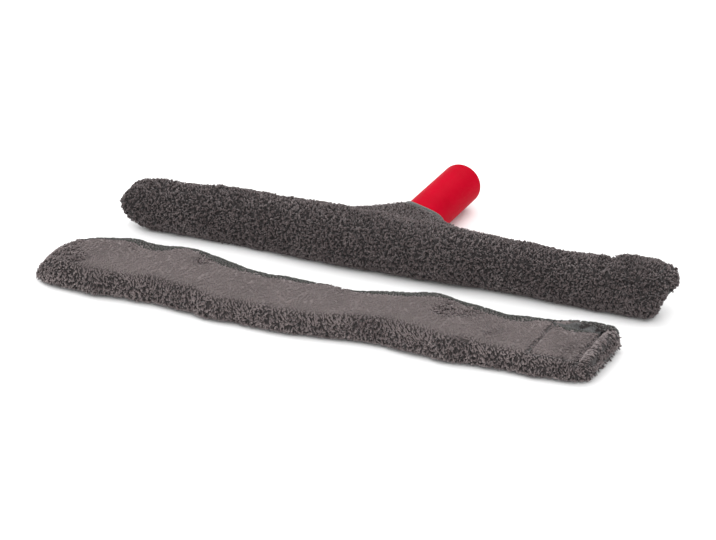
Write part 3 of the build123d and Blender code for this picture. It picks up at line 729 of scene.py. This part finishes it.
def taped(name, face, hooks, seed, body, node):
    """One strip of tape: a regular grid of hooks below it, or uneven loops all over its top."""
    rng = np.random.default_rng(seed)
    u, v = np.meshgrid(np.linspace(-1, 1, 40), np.arange(120) / 120, indexing="ij")
    skin_part = tube(face(u, v))
    side = (0.57, 0.93) if hooks else (0.07, 0.43)
    u, v = np.meshgrid(np.linspace(-0.9, 0.9, 20), np.linspace(*side, 30), indexing="ij")
    u, v = u.ravel(), v.ravel()
    if not hooks:
        u = np.clip(u + rng.uniform(-0.06, 0.06, len(u)), -0.93, 0.93)
        v = v + rng.uniform(-0.008, 0.008, len(v))
    place, out, along, around, _ = skin(face, u, v)
    heading = rng.uniform(0, 2 * np.pi, len(u)) * (0 if hooks else 1)
    first = along * np.cos(heading)[:, None] + around * np.sin(heading)[:, None]
    pile = locks(
        place, out, first * 0.8, first * 0.3 - out * 1.2,
        rng.uniform(shortest_hook, longest_hook, len(u)), np.full(len(u), hook_width),
        rng.uniform(0.2, 0.8, len(u)),
    )
    fitted(name, tape_finish, body, node, "tape", ground(skin_part), pile)


tape_finish = plush_finish("tape weave", 0.45)
worn_loop_face = strip_form(bar_middle, roll_radius + tape_gap, worn_hinge, worn_tape_half_angle)
worn_hook_face = strip_form(
    bar_middle, roll_radius + 2 * tape_gap + tape_thickness, worn_hinge, worn_tape_half_angle,
)
taped("worn_loop_tape_fuzz", worn_loop_face, False, 71, "washer", "worn_loop_tape")
taped("worn_hook_tape_rows", worn_hook_face, True, 72, "worn_closing_flap", "worn_hook_tape")

# Sewn lines of the worn sleeve: the thread at the root of the flap, and the rolled and overlocked
# edges that close the two ends, sunk between the locks.
thread_pitch, edge_pitch, edge_bow = 0.0024, 0.0030, 0.0004


def rope_form(centre, half_length, radius, strands, pitch, bow=0.0):
    """Surface of a twisted thread or rolled edge along Y: its strands wind round it once a pitch,
    its ends close in, and its middle stands out along X by the bow."""
    def face(u, v):
        turn = 2 * np.pi * v
        y = u * half_length
        ridge = 1 + 0.16 * np.cos(strands * turn + 2 * np.pi * y / pitch)
        thick = radius * ridge * np.sqrt(np.clip(1.001 - u**12, 0, 1))
        x = centre[0] + bow * (1 - u**2) + thick * np.sin(turn)
        return np.stack([x, centre[1] + y, centre[2] + thick * np.cos(turn)], -1)
    return face


def sewn(name, face, finish, slot, body, node):
    """One sewn line from its surface, as a piece of its body."""
    u, v = np.meshgrid(stations(260), np.arange(20) / 20, indexing="ij")
    fitted(name, finish, body, node, slot, tube(face(u, v)))


def woven_finish(name, dark, light, pitch):
    """Woven or braided cloth: two crossing sets of ribs a pitch apart, which shade each other, with
    uneven dye and fine lint."""
    finish = Finish(name)
    place = finish.add("ShaderNodeTexCoord", out="Object")
    across, along = [
        finish.add("ShaderNodeTexWave", {"bands_direction": direction}, {
            "Vector": place, "Scale": 0.314 / pitch, "Distortion": 1.5, "Detail": 2.0,
        })
        for direction in "XY"
    ]
    dye = finish.add("ShaderNodeTexNoise", None, {"Vector": place, "Scale": 90.0, "Detail": 3.0})
    lint = finish.add("ShaderNodeTexNoise", None, {"Vector": place, "Scale": 2400.0, "Detail": 2.0})
    weave = across * 0.5 + along * 0.5
    shade = weave * 0.5 + dye * 0.3 + lint * 0.3
    colour = finish.add("ShaderNodeValToRGB", {"stops": [(0.25, dark), (0.8, light)]}, {0: shade})
    relief = weave + lint * 0.4
    bump = finish.add("ShaderNodeBump", None, {"Strength": 0.6, "Distance": 0.0002, "Height": relief})
    shader = finish.add("ShaderNodeBsdfPrincipled", None, {
        "Base Color": colour, "Roughness": 0.85, "Normal": bump,
        "Sheen Weight": 0.2, "Sheen Roughness": 0.5,
    })
    finish.add("ShaderNodeOutputMaterial", None, {"Surface": shader})
    return finish.material


thread_finish = woven_finish("thread", (0.008, 0.0075, 0.0075), (0.030, 0.028, 0.028), 0.0005)
edge_finish = woven_finish("edge binding", (0.020, 0.023, 0.021), (0.085, 0.092, 0.086), 0.0009)
worn_thread_face = rope_form(
    bar_middle + [worn_hinge, 0, roll_radius + 0.0011], 0.0080, 0.0007, 2, thread_pitch,
)
sewn("worn_flap_thread", worn_thread_face, thread_finish, "thread", "washer", "worn_flap_stitch")
for reach, back, height, name, node in (
    (-0.2256, 0.0, 0.0030, "worn_left_edge", "worn_left_seam"),
    (0.2222, 0.0016, 0.0056, "worn_right_edge", "worn_right_seam"),
):
    edge_face = rope_form(
        bar_middle + [reach, back, height], 0.0105, 0.0009, 3, edge_pitch, edge_bow * np.sign(reach),
    )
    sewn(name, edge_face, edge_finish, "edge_binding", "washer", node)

# Bound edge of the collar: a greenish-grey tape folded over the hem, close round the red neck.
binding_half_width, binding_half_thickness = 0.0026, 0.0009
binding_radius = 0.0177


def hoop(place):
    """Faces of a grid of points that is closed in both directions: points, corners, corner counts
    and a chart."""
    along, around = place.shape[:2]
    i, j = np.meshgrid(np.arange(along), np.arange(around), indexing="ij")
    next_i, next_j = (i + 1) % along, (j + 1) % around
    quads = np.stack([
        i * around + j, i * around + next_j, next_i * around + next_j, next_i * around + j,
    ], -1)
    share = lambda row, column: np.stack([row / along, column / around], -1)
    chart = np.stack([share(i, j), share(i, j + 1), share(i + 1, j + 1), share(i + 1, j)], -2)
    return place.reshape(-1, 3), quads.reshape(-1), np.full(quads.size // 4, 4), chart.reshape(-1, 2)


def bound_edge(middle, outward, half_width, half_thickness, puckers):
    """Surface of a tape folded over an edge, along a closed line in planes square to Y: a flat
    superellipse section, puckered where it is sewn, with a groove along its stitches."""
    turn = 2 * np.pi * np.arange(24) / 24
    c, s = np.cos(turn), np.sin(turn)
    thick = half_thickness * np.sign(c) * np.abs(c) ** 0.6
    wide = half_width * np.sign(s) * np.abs(s) ** 0.6
    share = np.arange(len(middle)) / len(middle)
    pucker = 1 + 0.10 * np.cos(2 * np.pi * puckers * share) + 0.06 * np.cos(2 * np.pi * 7 * share)
    groove = 1 - 0.35 * np.exp(-((s + 0.35) / 0.12) ** 2)
    raised = outward[:, None] * (thick * groove)[None, :, None] * pucker[:, None, None]
    place = middle[:, None] + raised
    place[..., 1] += wide
    return place


around_neck = 2 * np.pi * np.arange(240) / 240
radial = np.stack([np.cos(around_neck), 0 * around_neck, np.sin(around_neck)], -1)
collar_hem = hoop(bound_edge(
    bar_middle + radial * binding_radius + collar_end(around_neck)[:, None] * [0, 1, 0], radial,
    binding_half_width, binding_half_thickness, 48,
))
fitted("collar_hem", edge_finish, "washer", "collar_binding", "edge_binding", collar_hem)

# Spare sleeve: the same plush tube, empty and lying flat, slack between a few bulges. Its upper
# nap is brushed smooth and lies over, painted lighter there as a sheen, and its edges and its left
# tip stay shaggy and dark.
spare_middle = np.array([-0.006, -0.10034, 0.0])
spare_half_width = 0.036
spare_layers = 0.0154
spare_slack = 0.0056
spare_pile_height = 0.0026
# station, sway of the middle line, half width and slack, as shares
spare_rows = np.array([
    (-1.000, -0.30, 0.36, -1.20),
    (-0.988, -0.26, 0.52, -0.25),
    (-0.965, -0.20, 0.68, 0.60),
    (-0.925, -0.12, 0.82, 1.25),
    (-0.860, -0.05, 0.95, 1.60),
    (-0.770, 0.01, 1.00, 1.65),
    (-0.640, 0.04, 0.99, 1.45),
    (-0.520, 0.03, 0.99, 1.80),
    (-0.420, -0.04, 0.98, 1.60),
    (-0.300, -0.16, 0.96, 1.15),
    (-0.150, -0.21, 0.91, 1.10),
    (0.000, -0.19, 0.88, 1.15),
    (0.140, -0.10, 0.84, 1.20),
    (0.250, 0.01, 0.88, 1.65),
    (0.355, 0.02, 0.96, 1.95),
    (0.470, -0.06, 0.98, 1.60),
    (0.590, -0.03, 0.95, 1.20),
    (0.660, 0.02, 0.96, 0.95),
    (0.760, 0.05, 0.97, 0.85),
    (0.860, 0.11, 1.00, 0.90),
    (0.930, 0.17, 1.02, 0.98),
    (0.968, 0.20, 1.01, 0.98),
    (0.988, 0.22, 0.96, 0.75),
    (0.996, 0.23, 0.91, 0.10),
    (1.000, 0.24, 0.84, -1.40),
])
end_pull, end_slant, end_ridge = 0.0075, 0.0012, 0.0036
spare_end = roll_half_length - end_pull
spare_hinge = 0.211
spare_seat = 0.013384
crown_radius = 0.6644
flap_sway, spare_flap_half_width = 0.00288, 0.028
crown_middle = spare_middle + [0, flap_sway, spare_seat - crown_radius]
spare_flap_half_angle = np.arcsin(spare_flap_half_width / crown_radius)
free_edge_margin = 0.0012
mouth_shift, mouth_half_length, mouth_height = -0.010, 0.052, 0.0090
mouth_ease, lip_depth, lip_height = 0.004, 0.009, 0.0015
bulge_height, wander_width = 0.0006, 0.0008
pillow_power, pillow_aspect = 4.8, 3.8
fine_turn = np.linspace(0, 2 * np.pi, 4097)
fine_ring = np.stack([
    np.sign(np.cos(fine_turn)) * np.abs(np.cos(fine_turn)) ** (2 / pillow_power),
    np.sign(np.sin(fine_turn)) * np.abs(np.sin(fine_turn)) ** (2 / pillow_power),
], -1)


def pillow(v, aspect):
    """Unit ring of a flat pillow, a superellipse, at share v of its length when it is aspect times
    as wide as it is high."""
    step = np.linalg.norm(np.diff(fine_ring * [aspect, 1], axis=0), axis=1)
    length = np.concatenate([[0], np.cumsum(step)])
    turn = np.interp(v % 1, length / length[-1], fine_turn)
    return np.interp(turn, fine_turn, fine_ring[:, 0]), np.interp(turn, fine_turn, fine_ring[:, 1])


# place along and across from the sleeve's middle, reach along and across, and depth of each dent
spare_dents = np.array([
    (-0.105, 0.016, 0.006, 0.010, 0.0022),
    (0.092, 0.006, 0.010, 0.0045, 0.0034),
    (0.108, 0.012, 0.016, 0.006, 0.0016),
    (-0.190, -0.008, 0.012, 0.006, 0.0012),
    (0.030, -0.012, 0.020, 0.006, 0.0010),
    (0.165, 0.004, 0.012, 0.010, 0.0010),
])


def spare(u, v, inset=0.0):
    """Spare sleeve at share u of its half length and share v round its section: a flat pillow ring
    that lies on the floor, crowned on top, with dents where the slack cloth sinks, pile pressed
    flat under the flap, the lips of the handle opening turned in along the back edge, and the right
    end drawn in, with a ridge along its back."""
    sway, width, slack = through(spare_rows, u)
    across, up = pillow(v, pillow_aspect)
    turned = (sway * spare_half_width + across * width * spare_half_width - flap_sway) / crown_radius
    within = (spare_flap_half_angle - np.abs(turned)) * crown_radius
    covered = eased(within / flap_margin + 0.5) * (up > 0.3)
    ended = eased((u - 0.80) / 0.20)
    station = u * roll_half_length - ended * (end_pull - end_slant * across)
    covered = covered * eased((station - spare_hinge + flap_length) / free_edge_margin)
    smooth = np.clip(up * 3 - 1, 0, 1) * (1 - np.clip(np.abs(across) * 5 - 4, 0, 1))
    smooth = smooth * np.clip((0.97 - np.abs(u)) / 0.05, 0, 1)
    inset = inset * (1 - flap_pressing * covered) * (1 - 0.55 * smooth * (1 - covered))
    top = spare_layers + slack * spare_slack
    half_height = top / 2 - inset
    middle = sway * spare_half_width
    y = across * (width * spare_half_width - inset)
    crown = 1 - 0.07 * across**2 * np.clip(up, 0, 1)
    z = top / 2 + half_height * up * crown
    sunk = np.clip(z - spare_seat + 0.15 * inset, 0, 1)
    z = z - covered * sunk
    z = z + (
        end_ridge * (1 - covered) * eased((u - 0.66) / 0.22) * eased((across - 0.60) / 0.25)
        * np.clip(up, 0, 1)
    )
    place = np.stack([spare_middle[0] + station - u * inset, spare_middle[1] + middle + y, z], -1)
    upper = np.clip(up * 2 - 0.6, 0, 1) * (1 - covered)
    place[..., 2] += upper * bulge_height * ripple(place, patch_shortest, patch_longest, 5)
    place[..., 1] += wander_width * across * ripple(place * [1, 0.2, 0.2], 0.015, 0.05, 6)
    for x, y, reach_x, reach_y, depth in spare_dents:
        far = ((place[..., 0] - spare_middle[0] - x) / reach_x) ** 2
        far = far + ((place[..., 1] - spare_middle[1] - middle - y) / reach_y) ** 2
        place[..., 2] -= upper * depth * np.exp(-far)
    lips = eased((mouth_half_length - np.abs(station - mouth_shift)) / mouth_ease)
    lips = lips * eased((across - 0.80) / 0.12)
    place[..., 1] -= lip_depth * lips * eased(1.9 - np.abs(place[..., 2] - mouth_height) / lip_height)
    place[..., 2] = np.maximum(place[..., 2], floor_clearance)
    return place


def back_edge(station):
    """How far the spare's back edge lies behind the sleeve's middle, at a station."""
    sway, width, _ = through(spare_rows, station / roll_half_length)
    return (sway + width) * spare_half_width


seat_start, seat_end_gap, seat_half_width, seat_floor = 0.0008, 0.002, 0.0270, 0.008
opening_half_height, opening_depth, lying_height = 0.0042, 0.013, 0.0012


def bare_spare(place):
    """Where the spare has no pile of its own: on the floor, under the flap and in the opening."""
    station, z = place[:, 0] - spare_middle[0], place[:, 2]
    y = place[:, 1] - spare_middle[1]
    flap = (station > spare_hinge - flap_length + seat_start) & (station < spare_end - seat_end_gap)
    flap = flap & (np.abs(y - flap_sway) < seat_half_width) & (z > seat_floor)
    opening = np.abs(station - mouth_shift) < mouth_half_length
    opening = opening & (np.abs(z - mouth_height) < opening_half_height)
    opening = opening & (y > back_edge(station) - opening_depth)
    return (z < lying_height) | flap | opening


def spare_lie(place):
    """Where a place lies on the spare: its share along, its share across and its share of the
    height, with the drawn-in end undone."""
    x = (place[:, 0] - spare_middle[0]) / roll_half_length
    u = x + end_pull / roll_half_length * eased((x - 0.79) / 0.18)
    sway, width, slack = through(spare_rows, np.clip(u, -1, 1))
    across = (place[:, 1] - spare_middle[1] - sway * spare_half_width) / (width * spare_half_width)
    return u, across, place[:, 2] / (spare_layers + slack * spare_slack)


def smooth_share(place):
    """How smoothly the nap lies: 1 on the upper face, 0 at the edges, the left tip and in dents."""
    u, across, level = spare_lie(place)
    wavy = 0.10 * ripple(place * [1, 1, 0], 0.010, 0.05, 15)
    face = np.clip((level + wavy - 0.52) / 0.30, 0, 1)
    face = face * np.clip((across + wavy + 1.02) / 0.22, 0, 1)
    tip = np.clip((u + 0.7 * wavy + 0.04 * across + 0.97) / 0.12, 0, 1)
    tip = tip * np.clip((0.992 - u) / 0.02, 0, 1)
    sunk = 0 * u
    for x, y, reach_x, reach_y, depth in spare_dents[:3]:
        sway = through(spare_rows, np.clip(u, -1, 1))[0] * spare_half_width
        far = ((place[:, 0] - spare_middle[0] - x) / reach_x) ** 2
        sunk = sunk + np.exp(-far - ((place[:, 1] - spare_middle[1] - sway - y) / reach_y) ** 2)
    return face * tip * (1 - 0.8 * np.clip(sunk, 0, 1))


def back_rim(place):
    """How near a place is to the spare's back edge, from 0 to 1, over its upper half."""
    u, across, level = spare_lie(place)
    wavy = 0.10 * ripple(place * [1, 0, 0], 0.02, 0.09, 16)
    return eased((across + wavy - 0.56) / 0.12) * (level > 0.28)


def spare_nap(place, out):
    """Nap of the spare's pile: brushed flat on the upper face, and shaggy where it hangs at the
    edges."""
    rim = back_rim(place)
    smooth = np.maximum(smooth_share(place), rim)
    past_hinge = eased((place[:, 0] - spare_middle[0] - spare_hinge) / 0.001)[:, None]
    brushed = np.array([1.1, -1.7, -0.1]) * (1 - past_hinge)
    brushed = brushed + np.array([-1.6, -1.0, 0.2]) * past_hinge
    back = (place[:, 1] > spare_middle[1])[:, None]
    hanging = np.where(back, [0.2, 0.4, -0.4], [0.25, -0.2, -0.55])
    lean = brushed * smooth[:, None] + hanging * (1 - smooth)[:, None]
    lean = lean * (1 - rim)[:, None] + np.array([1.3, 0.5, -0.5]) * rim[:, None]
    return lean, 1 - 0.30 * smooth - 0.12 * rim, 0.9 - 0.7 * smooth


def spare_tone_sheen_and_shade(place, out):
    """Tone of the spare's pile: light where it lies smooth, a painted sheen, darker where it is shaggy,
    and a darker greenish-grey along the back edge, which is painted shade."""
    patches = ripple(place, patch_shortest, patch_longest, 12)
    # The lift where the nap lies smooth is painted sheen.
    tone = 0.66 + 0.20 * smooth_share(place) + 0.05 * patches
    # Along the back edge the greenish-grey rim colour is painted shade, where the edge turns away from
    # the light.
    return np.where(back_rim(place) > 0.5, 1.0, np.minimum(tone, 0.99))


spare_clump, spare_lock_length, spare_lock_width = 0.0040, 0.0044, 0.00058
# brushed=True paints the sheen on the ground of the upper face.
spare_plush = plush_finish("spare plush", 1.25, brushed=True)
spare_u, spare_v = np.meshgrid(stations(320), np.arange(128) / 128, indexing="ij")
spare_ground = tube(spare(spare_u, spare_v, spare_pile_height))
spare_locks = [
    furred(
        lambda u, v: spare(u, v, spare_pile_height), low, high, lock_spacing, spare_clump, seed,
        spare_nap, spare_lock_length, spare_lock_width, spare_tone_sheen_and_shade,
        keep=lambda u, v: ~bare_spare(spare(u, v, spare_pile_height)),
    )
    for low, high, seed in ((-1.0, -0.97, 42), (-0.97, 0.985, 41), (0.985, 1.0, 43))
]
spare_sleeve = fitted(
    "spare_sleeve_plush", spare_plush, "spare_sleeve", "spare_pile", "plush",
    ground(spare_ground), *spare_locks,
)

# Right end of the spare sleeve past the flap's root: the pile over the end stands up in a soft
# roll, flush with the flap.
end_roll_half_length, end_roll_height, end_roll_overlap = 0.0288, 0.0070, 0.0004
end_spacing, end_clump, end_lock_length, end_lock_width = 0.00140, 0.0034, 0.0042, 0.00056


def end_roll(u, v, inset=0.0):
    """Roll of pile along Y: a flat-bottomed superellipse section from the flap's root to the end."""
    turn = 2 * np.pi * v
    c, s = np.cos(turn), np.sin(turn)
    half = (spare_end - spare_hinge) / 2 + 2 * end_roll_overlap
    slim = np.sqrt(np.clip(1.0001 - u**20, 0, 1))
    x = spare_hinge - end_roll_overlap + half
    x = x + (half - 0.4 * inset) * slim * np.sign(c) * np.abs(c) ** 0.6
    up = np.where(s > 0, end_roll_height - inset, end_roll_overlap) * np.sign(s) * np.abs(s) ** 0.6
    y = flap_sway + u * (end_roll_half_length - 0.4 * inset) + 0 * turn
    return np.stack([spare_middle[0] + x, spare_middle[1] + y, spare_seat + slim * up], -1)


def end_nap(place, out):
    """Nap of the end roll: on top it lies over the flap's root, and it hangs down at the end."""
    top = eased((out[:, 2] - 0.2) / 0.6)[:, None]
    lean = np.array([-1.6, -0.3, 0.0]) * top + np.array([0.3, -0.2, -0.6]) * (1 - top)
    return lean, 1 - 0.1 * top[:, 0], 0.85 - 0.4 * top[:, 0]


end_u, end_v = np.meshgrid(stations(60), np.arange(40) / 40, indexing="ij")
end_locks = furred(
    lambda u, v: end_roll(u, -v, flap_pile_height), -1.0, 1.0, end_spacing, end_clump, 63,
    end_nap, end_lock_length, end_lock_width, spare_tone_sheen_and_shade,
    keep=lambda u, v: np.sin(-2 * np.pi * v) > -0.02,
)
spare_end_roll = fitted(
    "spare_end_roll", spare_plush, "spare_sleeve", "spare_pile", "plush",
    ground(tube(end_roll(end_u, -end_v, flap_pile_height))), end_locks,
)
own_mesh(spare_end_roll)

# Closing flap, tapes and sewn lines of the spare sleeve: made as on the worn one, but here the
# flap lies flush between the bulges of the slack cloth.
spare_tape_half_width = 0.017
spare_tape_half_angle = np.arcsin(spare_tape_half_width / crown_radius)
spare_flap_height, spare_flap_step, spare_flap_root_height = 0.0064, 0.0012, 0.0040
spare_flap_face = flap_form(
    crown_middle, crown_radius, spare_hinge, spare_flap_half_angle, spare_tape_half_angle,
    spare_flap_height, spare_flap_step, spare_flap_root_height,
)
spare_flap = furred_flap(
    "spare_flap_plush", spare_flap_face, 62, spare_nap, spare_tone_sheen_and_shade, spare_plush,
    "spare_closing_flap", "spare_flap",
)
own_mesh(spare_flap)
spare_loop_face = strip_form(crown_middle, crown_radius + tape_gap, spare_hinge, spare_tape_half_angle)
spare_hook_face = strip_form(
    crown_middle, crown_radius + 2 * tape_gap + tape_thickness, spare_hinge, spare_tape_half_angle,
)
taped("spare_loop_tape_fuzz", spare_loop_face, False, 73, "spare_sleeve", "spare_loop_tape")
taped("spare_hook_tape_rows", spare_hook_face, True, 74, "spare_closing_flap", "spare_hook_tape")
spare_thread_face = rope_form(
    crown_middle + [spare_hinge, 0, crown_radius + 0.0005], 0.0170, 0.0005, 2, thread_pitch,
)
sewn("spare_flap_thread", spare_thread_face, thread_finish, "thread", "spare_sleeve", "spare_flap_stitch")
spare_edge_reach = 0.2250
for side, sway, half_length, height, name, node in (
    (-1, -0.0108, 0.0086, 0.0042, "spare_left_edge", "spare_left_seam"),
    (1, 0.0080, 0.0150, 0.0064, "spare_right_edge", "spare_right_seam"),
):
    reach = side * spare_edge_reach - (end_pull if side > 0 else 0)
    edge_face = rope_form(
        spare_middle + [reach, sway, height], half_length, 0.0010, 3, edge_pitch, side * edge_bow,
    )
    sewn(name, edge_face, edge_finish, "edge_binding", "spare_sleeve", node)

# Bound edge of the spare's handle opening: the same folded tape, round the closed slit.
slit_aspect, slit_half_height, slit_end_gap, slit_depth = 16.0, 0.0020, 0.0012, 0.0036
hem_half_width, hem_half_thickness = 0.0030, 0.0006
slit_share = np.arange(480) / 480
slit_across, slit_up = pillow(slit_share, slit_aspect)
slit = np.stack([
    mouth_shift + (mouth_half_length - slit_end_gap) * slit_across, 0 * slit_share,
    slit_half_height * slit_up,
], -1)
slit_heading = unit(np.roll(slit, -1, 0) - np.roll(slit, 1, 0))
slit_out = unit(np.cross([0.0, 1.0, 0.0], slit_heading))
slit[:, 1] = back_edge(slit[:, 0]) - slit_depth
mouth_hem = hoop(bound_edge(
    spare_middle + [0, 0, mouth_height] + slit, slit_out, hem_half_width, hem_half_thickness, 90,
))
fitted("mouth_hem", edge_finish, "spare_sleeve", "mouth_binding", "edge_binding", mouth_hem)

# Backing cloth of both sleeves: a plain woven tube, which the plush is knitted on, with its neck
# inside the collar. It lies under the pile, out of sight.
backing_finish = woven_finish("backing cloth", (0.030, 0.030, 0.031), (0.12, 0.118, 0.118), 0.0012)
backing_share, backing_under, backing_thickness = 0.955, 0.0036, 0.0012
backing_inner = backing_under + backing_thickness
neck_under, neck_inner = 0.0024, 0.0029


def backing(name, body, node, *walls):
    """A backing cloth from the grids of its walls, outer and inner by turns."""
    parts = [tube(wall if k % 2 == 0 else wall[:, ::-1]) for k, wall in enumerate(walls)]
    fitted(name, backing_finish, body, node, "backing_cloth", *parts)


cloth_stations = np.linspace(-backing_share, backing_share, 200)
cloth_u, cloth_v = np.meshgrid(cloth_stations, np.arange(64) / 64, indexing="ij")
neck_u, neck_v = np.meshgrid(np.linspace(0.04, 1, 40), np.arange(64) / 64, indexing="ij")
backing(
    "worn_backing_cloth", "washer", "worn_backing",
    roll(cloth_u, cloth_v, backing_under), roll(cloth_u, cloth_v, backing_inner),
    collar(neck_u, neck_v, neck_under), collar(neck_u, neck_v, neck_inner),
)
backing(
    "spare_backing_cloth", "spare_sleeve", "spare_backing",
    spare(cloth_u, cloth_v, backing_under), spare(cloth_u, cloth_v, backing_inner),
)

# Handle: glass-filled plastic, moulded in red in one piece with its ribbed fan and half the clamp.
red = Finish("moulded red plastic")
place = red.add("ShaderNodeTexCoord", out="Object")
cloud = red.add("ShaderNodeTexNoise", None, {"Vector": place, "Scale": 38.0, "Detail": 3.0})
grain = red.add("ShaderNodeTexNoise", None, {"Vector": place, "Scale": 1900.0, "Detail": 2.0})
colour = red.add("ShaderNodeValToRGB", {"stops": [
    (0.3, (0.37, 0.0006, 0.011)), (0.7, (0.44, 0.0012, 0.016)),
]}, {0: cloud})
bump = red.add("ShaderNodeBump", None, {"Strength": 0.12, "Distance": 0.0002, "Height": grain})
shader = red.add("ShaderNodeBsdfPrincipled", None, {
    "Base Color": colour, "Roughness": 0.34 + 0.12 * cloud, "Normal": bump,
    "Specular IOR Level": 0.05, "IOR": 1.15,
})
red.add("ShaderNodeOutputMaterial", None, {"Surface": shader})


def coated(finish, *nodes):
    """Gives CAD nodes, which keep their shape, a finish."""
    for node in nodes:
        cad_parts[node].data.materials.clear()
        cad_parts[node].data.materials.append(finish.material)


coated(red, "handle_yoke", "hub_clamp")

# Bar with its caps and screws: a drawn aluminium tube, black moulded caps and plated screws.
drawn = Finish("drawn aluminium")
place = drawn.add("ShaderNodeTexCoord", out="Object")
lines = drawn.add("ShaderNodeMapping", None, {"Vector": place, "Scale": (0.02, 1, 1)})
streak = drawn.add("ShaderNodeTexNoise", None, {"Vector": lines, "Scale": 2200.0, "Detail": 3.0})
stain = drawn.add("ShaderNodeTexNoise", None, {"Vector": place, "Scale": 45.0, "Detail": 4.0})
colour = drawn.add("ShaderNodeValToRGB", {"stops": [
    (0.3, (0.58, 0.59, 0.60)), (0.7, (0.78, 0.79, 0.80)),
]}, {0: stain})
bump = drawn.add("ShaderNodeBump", None, {"Strength": 0.15, "Distance": 0.00005, "Height": streak})
shader = drawn.add("ShaderNodeBsdfPrincipled", None, {
    "Base Color": colour, "Metallic": 1.0, "Roughness": 0.26 + 0.16 * streak, "Normal": bump,
})
drawn.add("ShaderNodeOutputMaterial", None, {"Surface": shader})
coated(drawn, "cross_bar")

moulded = Finish("moulded black plastic")
place = moulded.add("ShaderNodeTexCoord", out="Object")
grain = moulded.add("ShaderNodeTexNoise", None, {"Vector": place, "Scale": 1800.0, "Detail": 2.0})
cloud = moulded.add("ShaderNodeTexNoise", None, {"Vector": place, "Scale": 60.0})
colour = moulded.add("ShaderNodeValToRGB", {"stops": [
    (0.3, (0.014, 0.014, 0.015)), (0.7, (0.024, 0.024, 0.025)),
]}, {0: cloud})
bump = moulded.add("ShaderNodeBump", None, {"Strength": 0.2, "Distance": 0.0001, "Height": grain})
shader = moulded.add("ShaderNodeBsdfPrincipled", None, {
    "Base Color": colour, "Roughness": 0.42 + 0.12 * grain, "Normal": bump,
})
moulded.add("ShaderNodeOutputMaterial", None, {"Surface": shader})
coated(moulded, "left_end_cap", "right_end_cap")

plated = Finish("plated steel")
place = plated.add("ShaderNodeTexCoord", out="Object")
tarnish = plated.add("ShaderNodeTexNoise", None, {"Vector": place, "Scale": 320.0, "Detail": 3.0})
colour = plated.add("ShaderNodeValToRGB", {"stops": [
    (0.3, (0.50, 0.50, 0.51)), (0.7, (0.66, 0.66, 0.67)),
]}, {0: tarnish})
shader = plated.add("ShaderNodeBsdfPrincipled", None, {
    "Base Color": colour, "Metallic": 1.0, "Roughness": 0.22 + 0.2 * tarnish,
})
plated.add("ShaderNodeOutputMaterial", None, {"Surface": shader})
coated(plated, "clamp_screws")

# Photographer's table: a plain white sheet.
sheet_finish = Finish("white table")
place = sheet_finish.add("ShaderNodeTexCoord", out="Object")
mottle = sheet_finish.add("ShaderNodeTexNoise", None, {"Vector": place, "Scale": 3.0})
white = sheet_finish.add("ShaderNodeValToRGB", {"stops": [
    (0.0, (0.90, 0.90, 0.90)), (1.0, (0.93, 0.93, 0.93)),
]}, {0: mottle})
shader = sheet_finish.add("ShaderNodeBsdfPrincipled", None, {
    "Base Color": white, "Roughness": 0.9, "Specular IOR Level": 0.0,
})
sheet_finish.add("ShaderNodeOutputMaterial", None, {"Surface": shader})
table_mesh = bpy.data.meshes.new("table")
table_half = 6
table_corners = [(x * table_half, y * table_half, 0) for x, y in ((-1, -1), (1, -1), (1, 1), (-1, 1))]
table_mesh.from_pydata(table_corners, [], [(0, 1, 2, 3)])
table_mesh.materials.append(sheet_finish.material)
table = bpy.data.objects.new("table", table_mesh)
bpy.context.collection.objects.link(table)

# Studio light: a white tent all round, a broad soft box over the front and a weaker one behind.
world = bpy.data.worlds.new("tent")
world.use_nodes = True
tent = world.node_tree.nodes["Background"]
tent.inputs["Color"].default_value, tent.inputs["Strength"].default_value = (1, 1, 1, 1), 0.95
bpy.context.scene.world = world
for name, place, size, power in (
    ("front box", (0.7, -1.9, 1.9), 1.8, 42),
    ("left box", (-1.6, -0.4, 1.7), 1.4, 20),
    ("back box", (0.3, 1.8, 1.7), 1.6, 20),
):
    lamp = bpy.data.lights.new(name, "AREA")
    lamp.size, lamp.energy = size, power
    light = bpy.data.objects.new(name, lamp)
    light.location = place
    aim = np.array([0, -0.05, 0.02]) - np.array(place)
    across = np.cross(aim, [0, 0, 1])
    up = np.cross(across, aim)
    turn = np.stack([axis / np.linalg.norm(axis) for axis in (across, up, -aim)], 1)
    light.matrix_world = Matrix([[*turn[row], place[row]] for row in range(3)] + [[0, 0, 0, 1]])
    bpy.context.collection.objects.link(light)

# Camera: a long lens from the right of the front, looking down at the set.
aim = np.array([0.000544, -0.048584, 0.020])
azimuth, elevation, distance = np.radians(24.118), np.radians(23.982), 2.4496
away = np.array([
    np.sin(azimuth) * np.cos(elevation), -np.cos(azimuth) * np.cos(elevation), np.sin(elevation),
])
across = np.array([np.cos(azimuth), np.sin(azimuth), 0])
turn = np.stack([across, np.cross(away, across), away], 1)
lens = bpy.data.cameras.new("camera")
lens.lens, lens.sensor_width = 165.72, 36
camera = bpy.data.objects.new("camera", lens)
stand = aim + distance * away
camera.matrix_world = Matrix([[*turn[row], stand[row]] for row in range(3)] + [[0, 0, 0, 1]])
bpy.context.collection.objects.link(camera)
bpy.context.scene.camera = camera
bpy.context.scene.view_settings.view_transform = "Standard"
